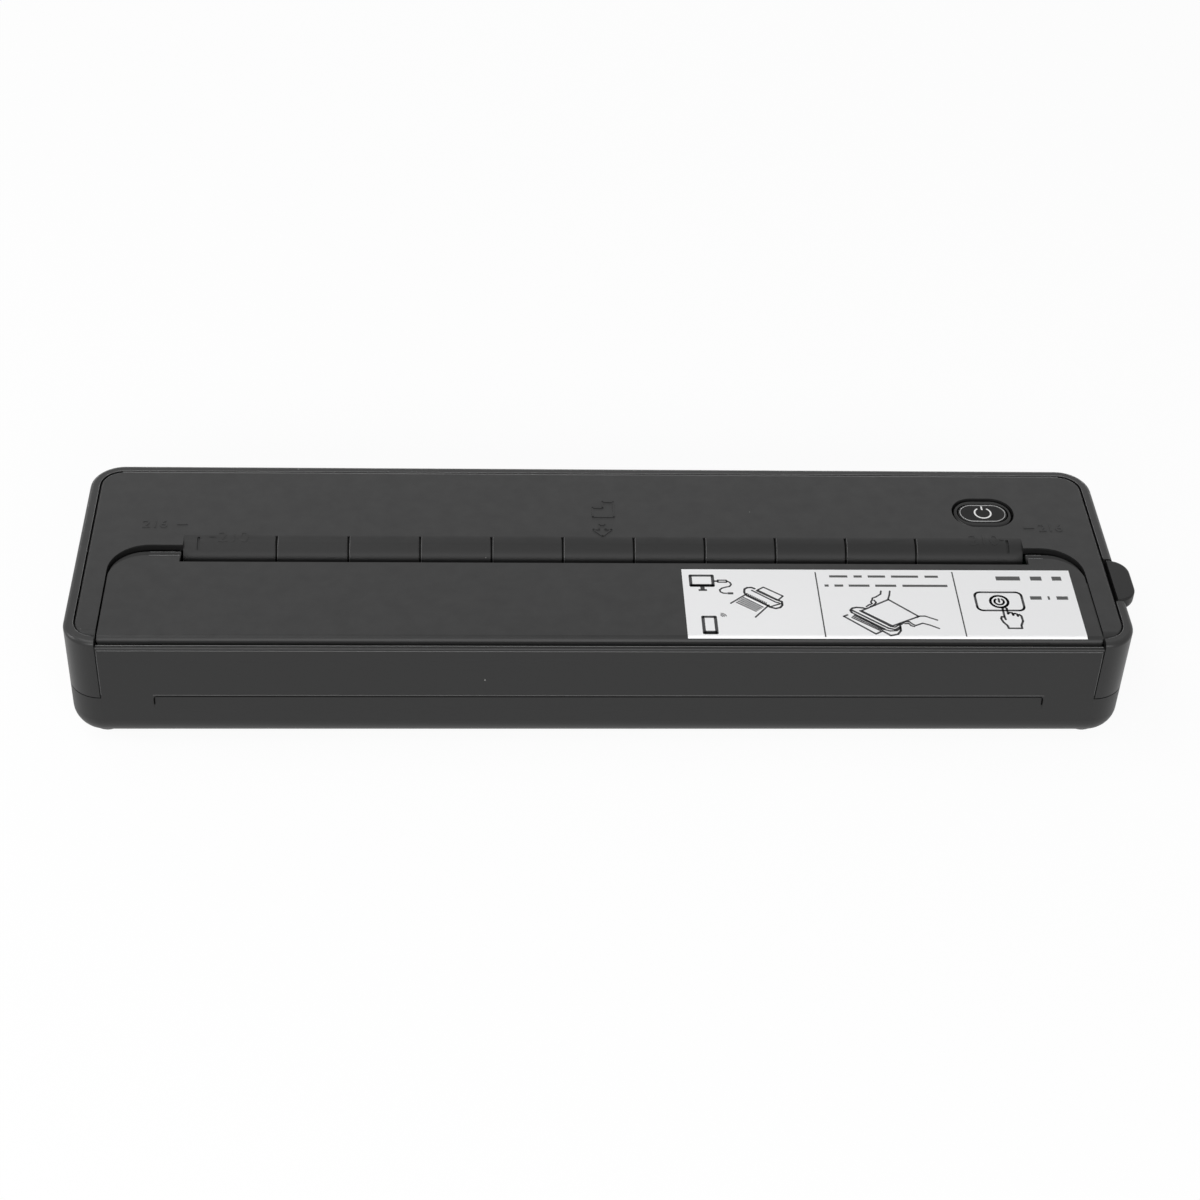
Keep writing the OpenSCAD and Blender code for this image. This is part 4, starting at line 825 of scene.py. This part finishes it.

# %% [markdown]
# Narrow strips close what would else show as deep black gaps. The front strip carries on under
# the cover's edge to both ends, the side strips lie behind the upright part lines, and the last
# one narrows the gap between the cover and the right arm. At the two ends of the wall's recess a
# strip of near-black painted shade does the opposite and deepens the shade.

# %% Strips in the part lines
def strip(name, low, high, material, body):
    """A plain bar between two corners in mm from the shells' middle."""
    bm = bmesh.new()
    size = [(b - a) * MM for a, b in zip(low, high)]
    middle = at((low[0] + high[0]) / 2, (low[1] + high[1]) / 2, (low[2] + high[2]) / 2 * MM)
    bmesh.ops.create_cube(bm, size=1, matrix=Matrix.Translation(middle)
                          @ Matrix.Diagonal((*size, 1)))
    piece = finish_piece(bm, name, material, body)
    print(name, "size in mm:", [round(v / MM, 2) for v in piece.dimensions])


# name, nearest and farthest x, y and z of the front low and of the rear high corner, all in mm
end_strips = (
    ("seam_strip_", 111.2, cover_half - 0.2, (-34.3, 31.6), (-33.8, 31.95), matte_black, "cover"),
    ("part_line_", 124.8, 125.15, (-35.45, 15.8), (-35.0, 31.5), wall_black, "body"),
    # the recess ends take a strip of painted shade
    ("recess_end_", 111.65, 111.98, (-35.93, 13.2), (-35.3, 15.9), painted_shade_black, "body"),
)
for side, sx in SIDES:
    for name, near, far, front_low, rear_high, finish, body in end_strips:
        x_low, x_high = sorted((sx * near, sx * far))
        strip(name + side, (x_low, *front_low), (x_high, *rear_high), finish, body)
strip("cover_edge_right", (cover_half - 0.1, -33.4, 32.2), (cover_half + 0.33, -11.5, 33.2),
      matte_black, "cover")

# %% [markdown]
# The sticker is divided into three fields by thin lines. Its fields hold small line drawings of
# how the printer is used: a screen and a telephone beside a printer, a sheet going into the
# inlet, and a finger on a round button. They are laid out on a grid with fifteen steps to a
# millimetre, counted from a point just behind the sticker's rear left corner. Every line is a
# flat ribbon that stands a hundredth of a millimetre proud of the film, as thick ink does.

# %% Sticker drawing helpers
GRID = 1 / 15
grid_x, grid_y = 18, -4
ink_thick, ink_sink = 0.02 * MM, 0.008 * MM
ink_z = label_top - ink_thick / 2 + ink_sink


def spot(u, v):
    """A point of the sticker's grid: u steps to the right, v steps to the front."""
    return at(grid_x + u * GRID, grid_y - v * GRID, 0)


def draw(bm, points, width=5, closed=False, joints=True, gain=1.75):
    """Draw a line through grid points, its width in grid steps, swollen a little like ink."""
    add_line(bm, [spot(u, v) for u, v in points], gain * width * GRID * MM, ink_thick, ink_z,
             closed, joints)


def arc(u, v, radius, a0, a1, steps=12):
    """Grid points on an arc, angles in degrees from the right towards the rear."""
    turns = [radians(a0 + (a1 - a0) * i / steps) for i in range(steps + 1)]
    return [(u + radius * cos(a), v - radius * sin(a)) for a in turns]


print("grid step in mm:", round(GRID, 4))

# %% [markdown]
# The left field has a screen on its stand, a lead with two plugs, and a telephone with three arcs
# for radio. The screen and telephone are closed outlines with one wide bar for the lower edge.

# %% Left field: screen, lead, telephone
bm = bmesh.new()
draw(bm, [(554, 62), (554, 436)], 3)
draw(bm, [(1085, 58), (1085, 432)], 3)
draw(bm, [(70, 83), (155, 83), (155, 144), (70, 144)], 7, True)
draw(bm, [(68, 141), (157, 141)], 13, joints=False, gain=1.2)
draw(bm, [(113, 150), (113, 166)], 14, joints=False, gain=1.2)
draw(bm, [(97, 169), (129, 169)], 6, joints=False)
draw(bm, [(160, 116), (172, 116)], 5)
draw(bm, [(174, 110), (206, 110), (209, 116), (206, 122), (174, 122)], 4, True)
draw(bm, [(210, 116), (220, 123), (224, 135), (217, 147), (200, 152), (186, 158), (178, 168),
          (180, 180), (190, 187), (202, 188)], 4)
draw(bm, [(206, 188), (228, 188)], 11, joints=False, gain=1.1)
draw(bm, [(102, 325), (149, 325), (149, 419), (102, 419)], 7, True)
draw(bm, [(102, 413), (149, 413)], 14, joints=False, gain=1.2)
for radius in (8, 15, 22):
    draw(bm, arc(170, 326, radius, 15, 85, 5), 3.5, gain=1.1)
print("left field so far:", len(bm.faces), "faces")

# %% [markdown]
# Beside them lies a small printer seen from above at an angle, with a blank sheet above its inlet
# and a ruled one below. The ruled lines and the ribs of the inlet repeat, so loops draw them.

# %% Left field: printer seen from above
draw(bm, [(322, 168), (346, 151), (416, 203), (396, 227)], 4, True)
draw(bm, [(318, 172), (392, 228)], 4)
draw(bm, [(274, 196), (270, 180), (273, 162), (284, 154), (300, 153), (312, 160)], 5)
draw(bm, [(274, 196), (352, 258), (362, 268), (382, 276), (400, 270), (409, 256), (409, 236),
          (398, 230)], 5)
draw(bm, [(300, 170), (384, 238), (398, 244)], 4)
draw(bm, [(358, 268), (384, 256), (409, 246)], 4)
for i in range(12):
    draw(bm, [(280 + 6.2 * i, 188 + 4.9 * i), (278 + 6.2 * i, 204 + 4.9 * i)], 3)
draw(bm, [(268, 200), (214, 246)], 4)
draw(bm, [(358, 256), (301, 326)], 4)
for i in range(5):
    draw(bm, [(264 - 7 * i, 212 + 7 * i), (334 - 7 * i, 268 + 6 * i)], 3.5)
print("with the printer:", len(bm.faces), "faces")

# %% [markdown]
# In the middle field two hands hold a sheet over the inlet. The sheet is a closed outline, and
# the printer below it is a few nested curves, each a little outside the one before.

# %% Middle field: a sheet laid into the inlet by two hands
draw(bm, [(817, 222), (920, 320), (813, 375), (706, 288)], 4.5, True)
draw(bm, [(668, 298), (664, 285), (673, 273), (690, 268), (714, 271), (724, 276)], 5)
draw(bm, [(672, 286), (796, 388), (822, 396), (842, 380), (842, 362)], 5)
draw(bm, [(700, 288), (806, 378), (822, 382), (838, 368)], 4)
draw(bm, [(668, 298), (772, 392), (800, 404), (826, 402), (842, 388)], 4)
draw(bm, [(772, 404), (800, 430), (828, 422), (841, 402), (842, 382)], 5)
draw(bm, [(650, 312), (635, 320), (745, 421), (773, 403)], 4.5)
for v in (0, 8, 16, 24):
    draw(bm, [(680 - v * 0.6, 308 + v * 0.8), (782 - v * 0.8, 392 + v * 0.4)], 3.5)
draw(bm, [(795, 172), (791, 190), (772, 206), (757, 214), (754, 226), (748, 236), (752, 246),
          (738, 254), (728, 264)], 4)
draw(bm, [(762, 226), (768, 240), (756, 256), (744, 262)], 4)
draw(bm, [(829, 172), (824, 196), (816, 220)], 4)
draw(bm, [(912, 326), (924, 318), (944, 318), (988, 341)], 4)
draw(bm, [(848, 366), (862, 352), (880, 350), (890, 364), (902, 372), (930, 359), (956, 370),
          (988, 389)], 4)
draw(bm, [(862, 362), (876, 360), (884, 374), (896, 378)], 4)
print("with the middle field:", len(bm.faces), "faces")

# %% [markdown]
# The right field shows the round button in its plate and a hand with one finger on it. Four
# quarter arcs make the plate's outline, and an arc left open at the rear makes the power sign.

# %% Right field: a finger on the button
plate = (arc(1174, 199, 22, 90, 180, 6) + arc(1174, 262, 22, 180, 270, 6)
         + arc(1310, 262, 22, 270, 360, 6) + arc(1310, 199, 22, 0, 90, 6))
draw(bm, plate, 5.5, True)
draw(bm, arc(1241, 232, 34, 0, 360, 32), 6)
draw(bm, arc(1241, 232, 18, 130, 410, 20), 5)
draw(bm, [(1241, 216), (1241, 234)], 5)
draw(bm, [(1247, 318), (1247, 272), (1255, 264), (1263, 272), (1263, 304)], 5)
draw(bm, [(1263, 304), (1270, 296), (1280, 298), (1282, 312)], 5)
draw(bm, [(1282, 306), (1290, 301), (1297, 305), (1299, 317)], 5)
draw(bm, [(1299, 311), (1306, 308), (1312, 316), (1313, 346), (1303, 370), (1303, 387),
          (1252, 387), (1250, 372), (1238, 353), (1232, 332), (1236, 320), (1247, 322),
          (1249, 336)], 5)
drawings = finish_piece(bm, "sticker_drawings", ink, "cover")
print("sticker drawings:", len(drawings.data.polygons), "faces")

# %% [markdown]
# Rows of plain grey bars fill the upper part of the middle and right fields. They keep the look
# of a printed field and say nothing.

# %% Grey bars of the sticker
# distance of the row to the front, weight of its bars, and where each bar starts and ends
rows = (
    (85, 13, ((606, 676), (700, 732), (755, 822), (845, 950), (975, 1027))),
    (140, 13, ((582, 598), (620, 654), (675, 755), (777, 858), (882, 1056))),
    (94, 24, ((1250, 1344), (1384, 1428), (1468, 1505))),
    (210, 20, ((1364, 1408), (1432, 1440), (1466, 1510))),
)
bm = bmesh.new()
for v, weight, row in rows:
    for u0, u1 in row:
        draw(bm, [(u0, v), (u1, v)], weight, joints=False, gain=1)
bars = finish_piece(bm, "sticker_bars", grey_ink, "cover")
print("bars:", len(bars.data.polygons), "faces")
